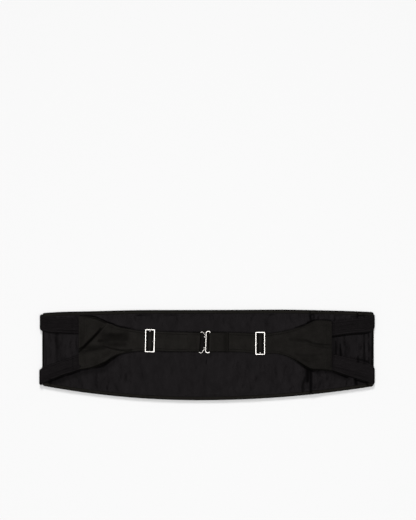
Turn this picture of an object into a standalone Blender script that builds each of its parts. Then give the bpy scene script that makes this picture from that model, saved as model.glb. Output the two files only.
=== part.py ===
"""A black evening cummerbund, laid flat with its pleated front down and its clasp fastened on top.

X runs along the garment, Y up its height as worn, Z up from the surface that it lies on.
"""

import math

import bmesh
import bpy
import numpy as np

MM = 0.001
SEAM_GAP = 0.3 * MM

# The panel, seen from above.
HALF_HEIGHT = 57.7 * MM
PANEL_LEFT = -211.0 * MM
PANEL_RIGHT = 212.6 * MM
TOP_PEAK = 40.0 * MM
TOP_FALL_LEFT = 4.2 * MM
TOP_FALL_RIGHT = 2.8 * MM
BOTTOM_PEAK = -10.0 * MM
BOTTOM_RISE_LEFT = 18.6 * MM
BOTTOM_RISE_RIGHT = 18.0 * MM
CORNER_RADIUS = 3.0 * MM
CORNER_BLEND = 0.05 * MM
TURNED_BORDER = 4.8 * MM
END_HEM = 2.0 * MM
HEM_SLOPE = 0.2 * MM
HEM_DIP = 0.1 * MM
PANEL_STATIONS = 29

# The panel, through its layers.
PLEATS = 5
PLEAT_STEP = 0.9 * MM
PLEAT_SLOPE = 0.3
FOLD_ROUND = 0.4 * MM
PANEL_WALL = 2.4 * MM
BORDER_TOP = 3.8 * MM
LINING_BASE = PANEL_WALL + SEAM_GAP
LINING_TOP = 3.7 * MM
LINING_COLUMNS = 19

# The panel's long edges in section: how far in from the outline at each height, in millimetres.
PANEL_EDGE_COLUMNS = ("inward", "height")
PANEL_EDGE = (
    (1.4, 0.0),
    (0.4, 0.5),
    (0.0, 1.5),
    (0.0, 2.5),
    (0.4, 3.4),
)

# The cloth that lies on the back.
CLOTH_BASE = BORDER_TOP + SEAM_GAP
BAND_THICKNESS = 1.1 * MM
BAND_START_HEIGHT = 2.2 * MM
BAND_COLUMNS = 4
BAND_STATION = 6.0 * MM
SHORTEST_STEP = 0.05 * MM
STRAP_THICKNESS = 1.2 * MM
STRAP_LEVEL = CLOTH_BASE + STRAP_THICKNESS / 2
UPPER_LEVEL = STRAP_LEVEL + STRAP_THICKNESS + SEAM_GAP
WING_COLUMNS = 15
WING_STATION = 4.5 * MM
EDGE_ROUND = 0.03
THIN_EDGE = 0.4

# The metal slides: a flat frame with a bar across its middle. Places in millimetres, tilts in degrees.
SLIDE_WIDTH = 13.2 * MM
SLIDE_HEIGHT = 30.4 * MM
SLIDE_BAR = 2.2 * MM
SLIDE_THICKNESS = 1.5 * MM
SLIDE_CORNER = 0.9 * MM
SLIDE_WINDOW_CORNER = 0.6 * MM
SLIDE_EDGE = 0.35 * MM
SLIDE_LEVEL = CLOTH_BASE + STRAP_THICKNESS + SEAM_GAP + SLIDE_THICKNESS / 2
SLIDES = {
    "slide_left": {"x": -73.4, "y": 18.15, "tilt": -1.4},
    "slide_right": {"x": 67.6, "y": 15.0, "tilt": 0.0},
}

# The wire clasp.
EYE_WIRE = 1.0 * MM
EYE_CENTRE_X = 0.95 * MM
EYE_CENTRE_Y = 16.6 * MM
EYE_HALF_WIDTH = 2.7 * MM
EYE_HALF_HEIGHT = 13.9 * MM
EYE_CORNER = 2.3 * MM
EYE_LEVEL = 6.75 * MM
EYE_TILT = math.radians(-2.0)
HOOK_WIRE = 0.65 * MM
HOOK_BAR_X = -10.4 * MM
HOOK_BAR_LEVEL = 6.3 * MM
HOOK_BAR_HALF = 10.9 * MM
HOOK_BAR_STRAIGHT = 5.4 * MM
HOOK_TILT = math.radians(-3.1)
HOOK_CURL = 2.6 * MM
HOOK_DIVE = 0.006 * MM
HOOK_ENTRY = 8.6 * MM
HOOK_PRONG = 6.9 * MM
HOOK_WRAP = EYE_WIRE + HOOK_WIRE + SEAM_GAP
HOOK_TIP_REACH = 3.0 * MM
HOOK_TIP_LIFT = 1.1 * MM
PRONG_ENTRY = math.radians(-125.0)
PRONG_EXIT = math.radians(100.0)

# The straps' routes: through a slide, then round a clasp bar to a turned end.
STRAP_OVER_BAR = SLIDE_LEVEL + (SLIDE_THICKNESS + STRAP_THICKNESS) / 2 + SEAM_GAP
STRAP_SLANT = 0.95 * MM
SLIDE_BEND = 1.0 * MM
LEAN_REACH = 16.0 * MM
LEFT_BEND = 4.0 * MM
LEFT_RISE_START = -39.0 * MM
LEFT_RISE_END = -35.0 * MM
LEFT_CLIMB_START = -26.0 * MM
LEFT_CLIMB_END = -13.0 * MM
LEFT_TURNED_END = -33.0 * MM
RIGHT_BEND = 6.0 * MM
RIGHT_DIP_START = 12.0 * MM
RIGHT_DIP_END = 7.0 * MM
RIGHT_FALL_START = 6.5 * MM
RIGHT_FALL_END = 19.0 * MM
RIGHT_TURNED_END = 23.4 * MM

# Edges of the cloth seen from above, in millimetres.
EDGE_COLUMNS = ("x", "top", "bottom")
BAND_EDGES = {
    "band_left_upper": (
        (-214.0, 52.3, 32.0),
        (-210.0, 50.4, 30.6),
        (-205.0, 48.4, 29.0),
        (-190.0, 48.0, 27.9),
        (-163.8, 47.6, 26.6),
    ),
    "band_left_lower": (
        (-214.7, -18.2, -38.4),
        (-209.8, -15.0, -36.4),
        (-204.0, -13.0, -33.4),
        (-184.0, -6.1, -26.1),
        (-163.8, 0.9, -18.5),
    ),
    "band_right_upper": (
        (214.7, 52.4, 34.3),
        (211.5, 51.2, 31.6),
        (206.5, 49.0, 29.6),
        (186.6, 46.8, 27.2),
        (159.2, 43.4, 23.8),
    ),
    "band_right_lower": (
        (214.7, -16.2, -37.0),
        (211.0, -13.2, -36.8),
        (205.0, -9.8, -35.0),
        (192.0, -6.0, -30.8),
        (159.2, 1.3, -19.9),
    ),
}
WING_LEFT_EDGES = (
    (-163.5, 50.2, -18.4),
    (-152.0, 50.0, -16.9),
    (-144.0, 48.6, -15.7),
    (-136.6, 45.6, -11.3),
    (-129.0, 42.0, -6.6),
    (-121.3, 39.4, -2.2),
    (-113.5, 36.4, 1.1),
    (-104.0, 34.5, 3.1),
    (-92.0, 32.4, 4.8),
    (-80.0, 30.8, 5.5),
    (-67.0, 30.8, 5.5),
    (-55.0, 30.3, 4.9),
    (-20.0, 29.3, 4.4),
    (-8.0, 28.9, 4.4),
)
WING_RIGHT_EDGES = (
    (158.9, 43.7, -19.8),
    (150.0, 44.6, -19.1),
    (142.0, 44.8, -18.8),
    (135.0, 43.4, -18.4),
    (128.0, 40.0, -15.2),
    (119.4, 36.6, -9.9),
    (109.1, 33.4, -4.4),
    (98.9, 31.0, -0.2),
    (88.0, 29.2, 1.9),
    (74.0, 27.7, 2.3),
    (61.0, 27.7, 2.4),
    (50.0, 28.4, 3.4),
    (11.0, 29.1, 4.4),
    (0.0, 28.9, 4.4),
)

# Creases: soft ridges (or troughs, below zero) from a start to an end, in millimetres.
CREASE_COLUMNS = ("x_start", "y_start", "x_end", "y_end", "half_width", "height")
CREASE_CLEARANCE = 3.0 * MM
CREASE_STATION = 2.2 * MM
CLOSEST_STATIONS = 0.8 * MM
CREASED_STRETCHES = ((-195.0, -182.0), (117.0, 137.0), (166.0, 174.0), (188.0, 205.0))
LINING_CREASES = (
    (130.0, -23.5, 130.6, -36.0, 2.4, 1.0),
    (130.6, -33.0, 134.0, -49.0, 2.0, 0.8),
    (130.0, -33.0, 121.5, -49.0, 2.2, 0.7),
    (125.5, -30.0, 126.5, -44.0, 2.6, -0.3),
    (171.0, 19.0, 169.8, 2.5, 2.4, 0.9),
    (201.0, 26.5, 201.8, -6.0, 2.2, 0.7),
    (192.0, 8.0, 192.6, -4.0, 2.4, 0.6),
    (-191.2, 25.5, -190.6, -2.0, 2.4, 0.8),
    (-185.5, 24.0, -186.4, 4.0, 2.0, 0.5),
    (198.0, -36.5, 190.0, -37.8, 1.8, 0.5),
    (-160.0, -24.0, -150.0, -46.0, 4.0, 0.4),
    (-60.0, -14.0, -54.0, -46.0, 5.0, 0.3),
    (40.0, -12.0, 46.0, -48.0, 5.0, 0.3),
)
WING_LEFT_CREASES = (
    (-164.5, 12.5, -136.0, 39.5, 3.4, 1.1),
    (-161.0, 6.0, -133.5, 32.5, 3.0, -0.2),
    (-163.0, 3.0, -131.0, 12.0, 3.2, 0.6),
    (-134.0, 11.5, -102.0, 6.5, 3.0, 0.5),
    (-133.0, 33.0, -104.0, 28.0, 3.6, 0.5),
)
WING_RIGHT_CREASES = (
    (110.0, 24.5, 158.0, 15.0, 3.2, 0.7),
    (152.0, -13.0, 116.0, 2.0, 3.6, 0.6),
    (156.0, 33.0, 128.0, 30.0, 4.0, 0.4),
)


def clear_scene():
    for obj in list(bpy.data.objects):
        bpy.data.objects.remove(obj)


def principled(name, colour, roughness, metallic=0.0, sheen=0.0):
    """A Principled material of one colour."""
    material = bpy.data.materials.new(name)
    material.use_nodes = True
    shader = material.node_tree.nodes["Principled BSDF"]
    shader.inputs["Base Color"].default_value = (*colour, 1.0)
    shader.inputs["Roughness"].default_value = roughness
    shader.inputs["Metallic"].default_value = metallic
    shader.inputs["Sheen Weight"].default_value = sheen
    return material


def column(rows, columns, name):
    """One named column of a table, in metres."""
    return np.array([row[columns.index(name)] for row in rows]) * MM


def through(at, knots, values):
    """A smooth curve through the knots, which rise or fall, read at the given places."""
    if knots[0] > knots[-1]:
        knots, values = knots[::-1], values[::-1]
    slopes = np.gradient(values, knots)
    cell = np.clip(np.searchsorted(knots, at, side="right") - 1, 0, len(knots) - 2)
    span = knots[cell + 1] - knots[cell]
    t = np.clip((at - knots[cell]) / span, 0.0, 1.0)
    start = (1 + 2 * t) * (1 - t) ** 2 * values[cell] + t * (1 - t) ** 2 * span * slopes[cell]
    end = t**2 * (3 - 2 * t) * values[cell + 1] + t**2 * (t - 1) * span * slopes[cell + 1]
    return start + end


def filleted(corners, radii, steps=4):
    """A line through (x, z) corners, each rounded by an arc of its own radius."""
    corners = np.asarray(corners, float)
    points = [corners[0]]
    for before, corner, after, radius in zip(corners, corners[1:], corners[2:], radii):
        incoming = (before - corner) / np.linalg.norm(before - corner)
        outgoing = (after - corner) / np.linalg.norm(after - corner)
        half = math.acos(float(np.clip(incoming @ outgoing, -1, 1))) / 2
        reach = radius / math.tan(half)
        inward = (incoming + outgoing) / np.linalg.norm(incoming + outgoing)
        middle = corner + inward * radius / math.sin(half)
        first = corner + incoming * reach - middle
        last = corner + outgoing * reach - middle
        for t in np.linspace(0.0, 1.0, steps + 1):
            spoke = first * (1 - t) + last * t
            points.append(middle + spoke / np.linalg.norm(spoke) * radius)
    points.append(corners[-1])
    return np.array(points)


def spaced(path, spacing):
    """The same line with extra points, so that no step along it is longer than the spacing."""
    points = [path[0]]
    for start, end in zip(path, path[1:]):
        pieces = max(1, math.ceil(np.linalg.norm(end - start) / spacing))
        points += [start + (end - start) * i / pieces for i in range(1, pieces + 1)]
    return np.array(points)


def creases(x, y, rows):
    """Height of a crease table at each point: a bell across each crease, fading out at its two ends."""
    height = np.zeros(np.broadcast(x, y).shape)
    tables = {name: column(rows, CREASE_COLUMNS, name) for name in CREASE_COLUMNS}
    for x0, y0, x1, y1, half_width, peak in zip(*tables.values()):
        length = math.hypot(x1 - x0, y1 - y0)
        along = ((x - x0) * (x1 - x0) + (y - y0) * (y1 - y0)) / length**2
        across = ((x - x0) * (y1 - y0) - (y - y0) * (x1 - x0)) / length
        fade = np.clip(4 * along * (1 - along), 0.0, 1.0) ** 0.7
        height += peak * fade * np.exp(-((across / half_width) ** 2))
    return height


def solid_from_rings(name, rings, material):
    """A closed solid skinned over a row of equal rings, with a flat cap at each end."""
    count, size, _ = rings.shape
    faces = [tuple(range(size)), tuple(range((count - 1) * size, count * size))]
    for ring in range(count - 1):
        for i in range(size):
            j = (i + 1) % size
            faces.append((ring * size + i, ring * size + j, (ring + 1) * size + j, (ring + 1) * size + i))
    mesh = bpy.data.meshes.new(name)
    mesh.from_pydata(rings.reshape(-1, 3).tolist(), [], faces)
    skin = bmesh.new()
    skin.from_mesh(mesh)
    bmesh.ops.recalc_face_normals(skin, faces=skin.faces)
    skin.to_mesh(mesh)
    skin.free()
    mesh.shade_smooth()
    mesh.set_sharp_from_angle(angle=math.radians(40))
    return placed(name, mesh, material)


def placed(name, data, material):
    """An object of its own for a mesh or a curve, under the garment's empty."""
    data.materials.append(material)
    obj = bpy.data.objects.new(name, data)
    bpy.context.scene.collection.objects.link(obj)
    obj.parent = bpy.data.objects["cummerbund"]
    return obj


def panel_top(x):
    """The upper edge: a very shallow arch that falls a little more at the left end."""
    left = TOP_FALL_LEFT * ((x - TOP_PEAK) / (PANEL_LEFT - TOP_PEAK)) ** 2
    right = TOP_FALL_RIGHT * ((x - TOP_PEAK) / (PANEL_RIGHT - TOP_PEAK)) ** 2
    return HALF_HEIGHT - np.where(x < TOP_PEAK, left, right)


def panel_bottom(x):
    """The lower edge: a deep arch from one end to the other."""
    left = BOTTOM_RISE_LEFT * ((x - BOTTOM_PEAK) / (PANEL_LEFT - BOTTOM_PEAK)) ** 2
    right = BOTTOM_RISE_RIGHT * ((x - BOTTOM_PEAK) / (PANEL_RIGHT - BOTTOM_PEAK)) ** 2
    return -HALF_HEIGHT + np.where(x < BOTTOM_PEAK, left, right)


def panel_section(x, corner_inset, end_thinning, floor):
    """One slice of the front panel: pleats below, rounded edges, turned borders and the sunk floor above."""
    bottom, top = float(panel_bottom(x)), float(panel_top(x))
    low, high = bottom + corner_inset, top - corner_inset
    strip = (top - bottom) / PLEATS
    inward = column(PANEL_EDGE, PANEL_EDGE_COLUMNS, "inward")
    height = column(PANEL_EDGE, PANEL_EDGE_COLUMNS, "height")
    section = list(zip(low + inward[::-1], height[::-1]))
    for pleat in range(1, PLEATS):
        fold = bottom + strip * pleat
        section += [(fold - FOLD_ROUND, 0.0), (fold, 0.75 * FOLD_ROUND), (fold, PLEAT_STEP)]
        section.append((fold + strip * PLEAT_SLOPE, 0.0))
    section += list(zip(high - inward, height))
    section += [(high - inward[0], BORDER_TOP), (top - TURNED_BORDER, BORDER_TOP)]
    section += [(top - TURNED_BORDER - HEM_SLOPE, floor), (bottom + TURNED_BORDER + HEM_SLOPE, floor)]
    section += [(bottom + TURNED_BORDER, BORDER_TOP), (low + inward[0], BORDER_TOP)]
    middle = BORDER_TOP / 2
    return [(x, y, middle + (z - middle) * (1 - end_thinning)) for y, z in section]


def front_panel():
    """The pleated cloth: slices from one rounded end to the other, its floor sunk between the end hems."""
    hem_floor = BORDER_TOP - HEM_DIP
    corner = []
    for turn, thinning in ((0.0, 0.25), (30.0, 0.0), (60.0, 0.0)):
        inward = CORNER_RADIUS * (1 - math.cos(math.radians(turn)))
        inset = CORNER_RADIUS * (1 - math.sin(math.radians(turn)))
        corner.append((inward, (inset, thinning, hem_floor)))
    corner.append((END_HEM - HEM_SLOPE, (CORNER_BLEND, 0.0, hem_floor)))
    corner.append((END_HEM, (CORNER_BLEND, 0.0, PANEL_WALL)))
    rings = [panel_section(PANEL_LEFT + inward, *shape) for inward, shape in corner]
    for x in np.linspace(PANEL_LEFT + 2 * END_HEM, PANEL_RIGHT - 2 * END_HEM, PANEL_STATIONS):
        rings.append(panel_section(x, 0.0, 0.0, PANEL_WALL))
    rings += [panel_section(PANEL_RIGHT - inward, *shape) for inward, shape in reversed(corner)]
    cloth = principled("pleated_satin", (0.010, 0.009, 0.009), 0.5, sheen=0.2)
    solid_from_rings("front_panel", np.array(rings), cloth)


def lining_stations():
    """Places along the lining: even steps, with closer ones where its creases stand."""
    start = PANEL_LEFT + END_HEM + SEAM_GAP + HEM_SLOPE
    end = PANEL_RIGHT - END_HEM - SEAM_GAP - HEM_SLOPE
    stations = set(np.linspace(start, end, 33))
    for first, last in CREASED_STRETCHES:
        stations |= set(np.arange(first * MM, last * MM, CREASE_STATION))
    stations = np.array(sorted(stations))
    clear = np.diff(stations, prepend=-1.0) > CLOSEST_STATIONS
    return stations[clear]


def lining():
    """The lining: flat below, its creases raised in its upper side."""
    rings = []
    for x in lining_stations():
        low = float(panel_bottom(x)) + TURNED_BORDER + SEAM_GAP + HEM_SLOPE
        high = float(panel_top(x)) - TURNED_BORDER - SEAM_GAP - HEM_SLOPE
        y = np.linspace(low, high, LINING_COLUMNS)
        fade = np.clip(np.minimum(y - low, high - y) / CREASE_CLEARANCE, 0.0, 1.0)
        z = LINING_TOP + creases(x, y, LINING_CREASES) * fade
        upper = [(x, across, up) for across, up in zip(y, z)]
        rings.append([*upper, (x, high, LINING_BASE), (x, low, LINING_BASE)])
    cloth = principled("lining_satin", (0.010, 0.009, 0.0095), 0.45, sheen=0.1)
    solid_from_rings("lining", np.array(rings), cloth)


def ribbon(name, path, edges, skew, thickness, material, columns, crease_rows=()):
    """A flat strip of cloth along an (x, z) path.

    The edge table gives its two sides by x, and skew leans its cross lines.
    """
    knots = column(edges, EDGE_COLUMNS, "x")
    top = through(path[:, 0], knots, column(edges, EDGE_COLUMNS, "top"))
    bottom = through(path[:, 0], knots, column(edges, EDGE_COLUMNS, "bottom"))
    along = np.gradient(path, axis=0)
    along /= np.linalg.norm(along, axis=1)[:, None]
    up = np.column_stack([-along[:, 1], along[:, 0]])
    if up[0, 1] < 0:
        up = -up
    inner = np.linspace(EDGE_ROUND, 1 - EDGE_ROUND, columns)
    upper = np.concatenate([[0.0], inner, [1.0]])
    lower = np.array([1.0, 1 - EDGE_ROUND, EDGE_ROUND, 0.0])
    faces = []
    for side, share in ((1, upper), (-1, lower)):
        half = side * thickness / 2 * np.where((share > 0) & (share < 1), 1.0, THIN_EDGE)
        y = bottom[:, None] + (top - bottom)[:, None] * share
        x = path[:, :1] + skew[:, None] * (y - (top + bottom)[:, None] / 2)
        faces.append(np.stack([x + up[:, :1] * half, y, path[:, 1:] + up[:, 1:] * half], axis=2))
    if crease_rows:
        flat = (up[:, 1:] > 0.999) * np.sin(np.pi * upper) ** 0.5
        faces[0][:, :, 2] += creases(faces[0][:, :, 0], faces[0][:, :, 1], crease_rows) * flat
    return solid_from_rings(name, np.concatenate(faces, axis=1), material)


def elastic_bands():
    """Each band leaves the end seam, folds back over the end and runs in to its wing."""
    turn = (CLOTH_BASE + BAND_THICKNESS / 2 - BAND_START_HEIGHT) / 2
    angles = np.linspace(-math.pi / 2, math.pi / 2, 9)
    for name, edges in BAND_EDGES.items():
        knots = column(edges, EDGE_COLUMNS, "x")
        outward = math.copysign(1.0, knots[0])
        panel_end = PANEL_LEFT if outward < 0 else PANEL_RIGHT
        fold = knots[0] - outward * (BAND_THICKNESS / 2 + turn)
        arc = [fold + outward * turn * np.cos(angles), BAND_START_HEIGHT + turn * (1 + np.sin(angles))]
        first = (panel_end + outward * SEAM_GAP, BAND_START_HEIGHT)
        last = (knots[-1], BAND_START_HEIGHT + 2 * turn)
        path = np.vstack([[first], np.column_stack(arc), [last]])
        apart = np.linalg.norm(np.diff(path, axis=0), axis=1) > SHORTEST_STEP
        path = spaced(path[np.append(True, apart)], BAND_STATION)
        cloth = principled(name + "_elastic", (0.006, 0.005, 0.0055), 0.75)
        ribbon(name, path, edges, np.zeros(len(path)), BAND_THICKNESS, cloth, BAND_COLUMNS)


def slide_hump(x):
    """Corners of a strap's path through a slide, from left to right: under, over the middle bar, under."""
    window = (SLIDE_WIDTH / 2 - 1.5 * SLIDE_BAR) / 2
    clear = SLIDE_BAR / 2 + window
    foot = clear + STRAP_SLANT
    crown = clear - STRAP_SLANT
    return [
        (x - foot, STRAP_LEVEL),
        (x - crown, STRAP_OVER_BAR),
        (x + crown, STRAP_OVER_BAR),
        (x + foot, STRAP_LEVEL),
    ]


def loop_round(x, level, radius, outward, rising):
    """Points of a strap's path round a clasp bar at (x, level), on the side that outward names."""
    angles = np.linspace(-math.pi / 2, math.pi / 2, 13)
    if not rising:
        angles = -angles
    out = outward * radius * np.cos(angles)
    return np.column_stack([x + out, level + radius * np.sin(angles)])


def lean_near(path, places, reach):
    """Lean of a strap's cross lines at each point: full at a tilted piece of metal, none past the reach."""
    skew = np.zeros(len(path))
    for x, tilt in places:
        near = np.clip((reach - np.abs(path[:, 0] - x)) / (reach / 2), 0.0, 1.0)
        skew += -math.tan(tilt) * near * near * (3 - 2 * near)
    return skew


def left_wing():
    """From the seam in through the slide to the hook, round its bar and back beneath."""
    slide_x = SLIDES["slide_left"]["x"] * MM
    slide_tilt = math.radians(SLIDES["slide_left"]["tilt"])
    radius = HOOK_WIRE + SEAM_GAP + STRAP_THICKNESS / 2
    over_bar = HOOK_BAR_LEVEL + radius
    start = column(WING_LEFT_EDGES, EDGE_COLUMNS, "x")[0]
    corners = [(start, STRAP_LEVEL), *slide_hump(slide_x)]
    corners += [(LEFT_RISE_START, STRAP_LEVEL), (LEFT_RISE_END, UPPER_LEVEL)]
    corners += [(LEFT_CLIMB_START, UPPER_LEVEL), (LEFT_CLIMB_END, over_bar), (HOOK_BAR_X, over_bar)]
    out = filleted(corners, [SLIDE_BEND] * 4 + [LEFT_BEND] * 4)
    loop = loop_round(HOOK_BAR_X, HOOK_BAR_LEVEL, radius, 1.0, rising=False)
    path = spaced(np.vstack([out[:-1], loop, [(LEFT_TURNED_END, STRAP_LEVEL)]]), WING_STATION)
    skew = lean_near(path, ((slide_x, slide_tilt), (HOOK_BAR_X, HOOK_TILT)), LEAN_REACH)
    cloth = principled("wing_left_cloth", (0.0115, 0.0105, 0.0095), 0.6, sheen=0.3)
    look = (STRAP_THICKNESS, cloth, WING_COLUMNS, WING_LEFT_CREASES)
    ribbon("wing_left", path, WING_LEFT_EDGES, skew, *look)


def right_wing():
    """From the seam in through the slide to the eye, round its bar and back on top to a sewn end."""
    slide_x = SLIDES["slide_right"]["x"] * MM
    slide_tilt = math.radians(SLIDES["slide_right"]["tilt"])
    radius = EYE_WIRE + SEAM_GAP + STRAP_THICKNESS / 2
    bar_x = EYE_CENTRE_X + EYE_HALF_WIDTH
    below, above = EYE_LEVEL - radius, EYE_LEVEL + radius
    start = column(WING_RIGHT_EDGES, EDGE_COLUMNS, "x")[0]
    corners = [(start, STRAP_LEVEL), *reversed(slide_hump(slide_x))]
    corners += [(RIGHT_DIP_START, STRAP_LEVEL), (RIGHT_DIP_END, below), (bar_x, below)]
    out = filleted(corners, [SLIDE_BEND] * 4 + [RIGHT_BEND] * 2)
    loop = loop_round(bar_x, EYE_LEVEL, radius, -1.0, rising=True)
    corners = [(bar_x, above), (RIGHT_FALL_START, above), (RIGHT_FALL_END, UPPER_LEVEL)]
    back = filleted([*corners, (RIGHT_TURNED_END, UPPER_LEVEL)], [LEFT_BEND] * 2)
    path = spaced(np.vstack([out[:-1], loop, back[1:]]), WING_STATION)
    skew = lean_near(path, ((slide_x, slide_tilt), (bar_x, EYE_TILT)), LEAN_REACH)
    cloth = principled("wing_right_cloth", (0.0110, 0.0100, 0.0090), 0.6, sheen=0.3)
    look = (STRAP_THICKNESS, cloth, WING_COLUMNS, WING_RIGHT_CREASES)
    ribbon("wing_right", path, WING_RIGHT_EDGES, skew, *look)


def rounded_rectangle(width, height, radius, steps):
    """Points round a rectangle with arc corners, anticlockwise, about the origin."""
    points = []
    for corner in range(4):
        across = (width / 2 - radius) * (1 if corner in (0, 3) else -1)
        along = (height / 2 - radius) * (1 if corner < 2 else -1)
        for step in range(steps + 1):
            angle = math.pi / 2 * (corner + step / steps)
            points.append((across + radius * math.cos(angle), along + radius * math.sin(angle)))
    return points


def add_spline(curve, points, cyclic):
    spline = curve.splines.new("POLY")
    spline.points.add(len(points) - 1)
    for point, place in zip(spline.points, points):
        point.co = (*place, 1.0)
    spline.use_cyclic_u = cyclic


def slides():
    """Flat frames with two tall windows, their edges rounded off."""
    window = (SLIDE_WIDTH - 3 * SLIDE_BAR) / 2
    window_height = SLIDE_HEIGHT - 2 * SLIDE_BAR
    for name, place in SLIDES.items():
        frame = bpy.data.curves.new(name, "CURVE")
        frame.dimensions = "2D"
        frame.fill_mode = "BOTH"
        frame.extrude = SLIDE_THICKNESS / 2 - SLIDE_EDGE
        frame.bevel_depth = SLIDE_EDGE
        frame.bevel_resolution = 2
        frame.offset = -SLIDE_EDGE
        outer = rounded_rectangle(SLIDE_WIDTH, SLIDE_HEIGHT, SLIDE_CORNER, 4)
        add_spline(frame, [(*point, 0.0) for point in outer], True)
        for side in (-1, 1):
            centre = side * (SLIDE_BAR + window) / 2
            hole = rounded_rectangle(window, window_height, SLIDE_WINDOW_CORNER, 3)
            add_spline(frame, [(a + centre, b, 0.0) for a, b in hole], True)
        metal = principled(name + "_nickel", (0.80, 0.79, 0.77), 0.22, metallic=1.0)
        obj = placed(name, frame, metal)
        obj.location = (place["x"] * MM, place["y"] * MM, SLIDE_LEVEL)
        obj.rotation_euler = (0.0, 0.0, math.radians(place["tilt"]))


def wire(name, points, radius, cyclic, resolution):
    """A round wire along the points."""
    curve = bpy.data.curves.new(name, "CURVE")
    curve.dimensions = "3D"
    curve.bevel_depth = radius
    curve.bevel_resolution = resolution
    curve.use_fill_caps = True
    add_spline(curve, points, cyclic)
    metal = principled(name + "_nickel", (0.80, 0.79, 0.77), 0.2, metallic=1.0)
    return placed(name, curve, metal)


def eye_bar_x(y):
    """Where the eye's open bar lies at a height along it."""
    return EYE_CENTRE_X - EYE_HALF_WIDTH - (y - EYE_CENTRE_Y) * math.tan(EYE_TILT)


def clasp_eye():
    """A long ring of thick wire, leaning a little."""
    outline = rounded_rectangle(2 * EYE_HALF_WIDTH, 2 * EYE_HALF_HEIGHT, EYE_CORNER, 5)
    eye = wire("clasp_eye", [(*point, 0.0) for point in outline], EYE_WIRE, True, 3)
    eye.location = (EYE_CENTRE_X, EYE_CENTRE_Y, EYE_LEVEL)
    eye.rotation_euler = (0.0, 0.0, EYE_TILT)


def hook_half(side):
    """Route of half the hook, from its strap bar over a curl, down a leg and round the eye's open bar."""
    lean = -math.tan(HOOK_TILT)
    bar_end_y = EYE_CENTRE_Y + side * HOOK_BAR_HALF
    bar_end_x = HOOK_BAR_X + side * HOOK_BAR_HALF * lean
    bar_start_x = bar_end_x - side * HOOK_BAR_STRAIGHT * lean
    route = [(bar_start_x, bar_end_y - side * HOOK_BAR_STRAIGHT, HOOK_BAR_LEVEL)]
    for turn in (180, 150, 120, 90, 60, 38):
        angle = math.radians(turn)
        x = bar_end_x + HOOK_CURL * (1 + math.cos(angle))
        y = bar_end_y + side * HOOK_CURL * math.sin(angle)
        route.append((x, y, HOOK_BAR_LEVEL - HOOK_DIVE * max(0, 100 - turn)))
    prong_y = EYE_CENTRE_Y + side * HOOK_PRONG
    entry_y = EYE_CENTRE_Y + side * HOOK_ENTRY
    angles = np.linspace(PRONG_ENTRY, PRONG_EXIT, 11)
    for t, angle in zip(np.linspace(0.0, 1.0, len(angles)), angles):
        y = entry_y * (1 - t) ** 2 + prong_y * (1 - (1 - t) ** 2)
        x = eye_bar_x(y) + HOOK_WRAP * math.cos(angle)
        route.append((x, y, EYE_LEVEL + HOOK_WRAP * math.sin(angle)))
    route.append((eye_bar_x(prong_y) - HOOK_TIP_REACH, prong_y, EYE_LEVEL + HOOK_TIP_LIFT))
    return np.array(route)


def clasp_hook():
    """One piece of thinner wire: a bar in the strap's fold and a curled hook at each end."""
    upper = hook_half(1)
    lower = hook_half(-1)
    route = np.vstack([upper[::-1], lower])
    steps = np.linalg.norm(np.diff(route, axis=0), axis=1)
    along = np.append(0.0, np.cumsum(steps))
    at = np.linspace(0.0, along[-1], 79)
    points = np.column_stack([through(at, along, route[:, axis]) for axis in range(3)])
    wire("clasp_hook", points.tolist(), HOOK_WIRE, False, 2)


def main():
    clear_scene()
    garment = bpy.data.objects.new("cummerbund", None)
    bpy.context.scene.collection.objects.link(garment)
    front_panel()
    lining()
    elastic_bands()
    left_wing()
    right_wing()
    slides()
    clasp_eye()
    clasp_hook()


main()
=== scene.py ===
import math

import bpy
import numpy as np
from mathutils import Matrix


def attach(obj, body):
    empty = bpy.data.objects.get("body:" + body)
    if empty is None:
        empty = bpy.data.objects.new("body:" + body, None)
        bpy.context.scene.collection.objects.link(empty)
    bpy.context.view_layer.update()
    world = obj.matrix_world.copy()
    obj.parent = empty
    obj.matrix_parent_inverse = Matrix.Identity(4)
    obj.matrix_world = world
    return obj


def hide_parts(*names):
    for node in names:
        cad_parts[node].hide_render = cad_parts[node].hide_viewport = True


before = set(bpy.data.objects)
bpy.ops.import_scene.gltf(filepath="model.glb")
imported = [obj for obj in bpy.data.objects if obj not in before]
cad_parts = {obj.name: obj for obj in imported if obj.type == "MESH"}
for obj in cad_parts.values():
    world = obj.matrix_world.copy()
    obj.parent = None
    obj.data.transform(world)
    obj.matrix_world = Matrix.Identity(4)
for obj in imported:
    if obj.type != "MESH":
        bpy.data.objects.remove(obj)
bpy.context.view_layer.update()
mm = 0.001

# Lengths below are in millimetres: X along the garment, Y up its height as worn, Z up from the
# floor. The photograph is taken from straight above, its light coming from the upper side.


def setInputs(tree, node, inputs):
    # a socket is linked, anything else is set as a constant
    for key, value in inputs.items():
        if isinstance(value, bpy.types.NodeSocket):
            tree.links.new(value, node.inputs[key])
        else:
            node.inputs[key].default_value = value


def addNode(tree, kind, inputs, **settings):
    node = tree.nodes.new("ShaderNode" + kind)
    for key, value in settings.items():
        setattr(node, key, value)
    setInputs(tree, node, inputs)
    return node


def compute(tree, kind, *values):
    return addNode(tree, "Math", dict(enumerate(values)), operation=kind).outputs[0]


def blend(tree, factor, first, last):
    colours = {"Factor": factor, "A": first, "B": last}
    return addNode(tree, "Mix", colours, data_type="RGBA").outputs["Result"]


def newMaterial(name):
    material = bpy.data.materials.new(name)
    material.use_nodes = True
    return material, material.node_tree, material.node_tree.nodes["Principled BSDF"]


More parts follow.
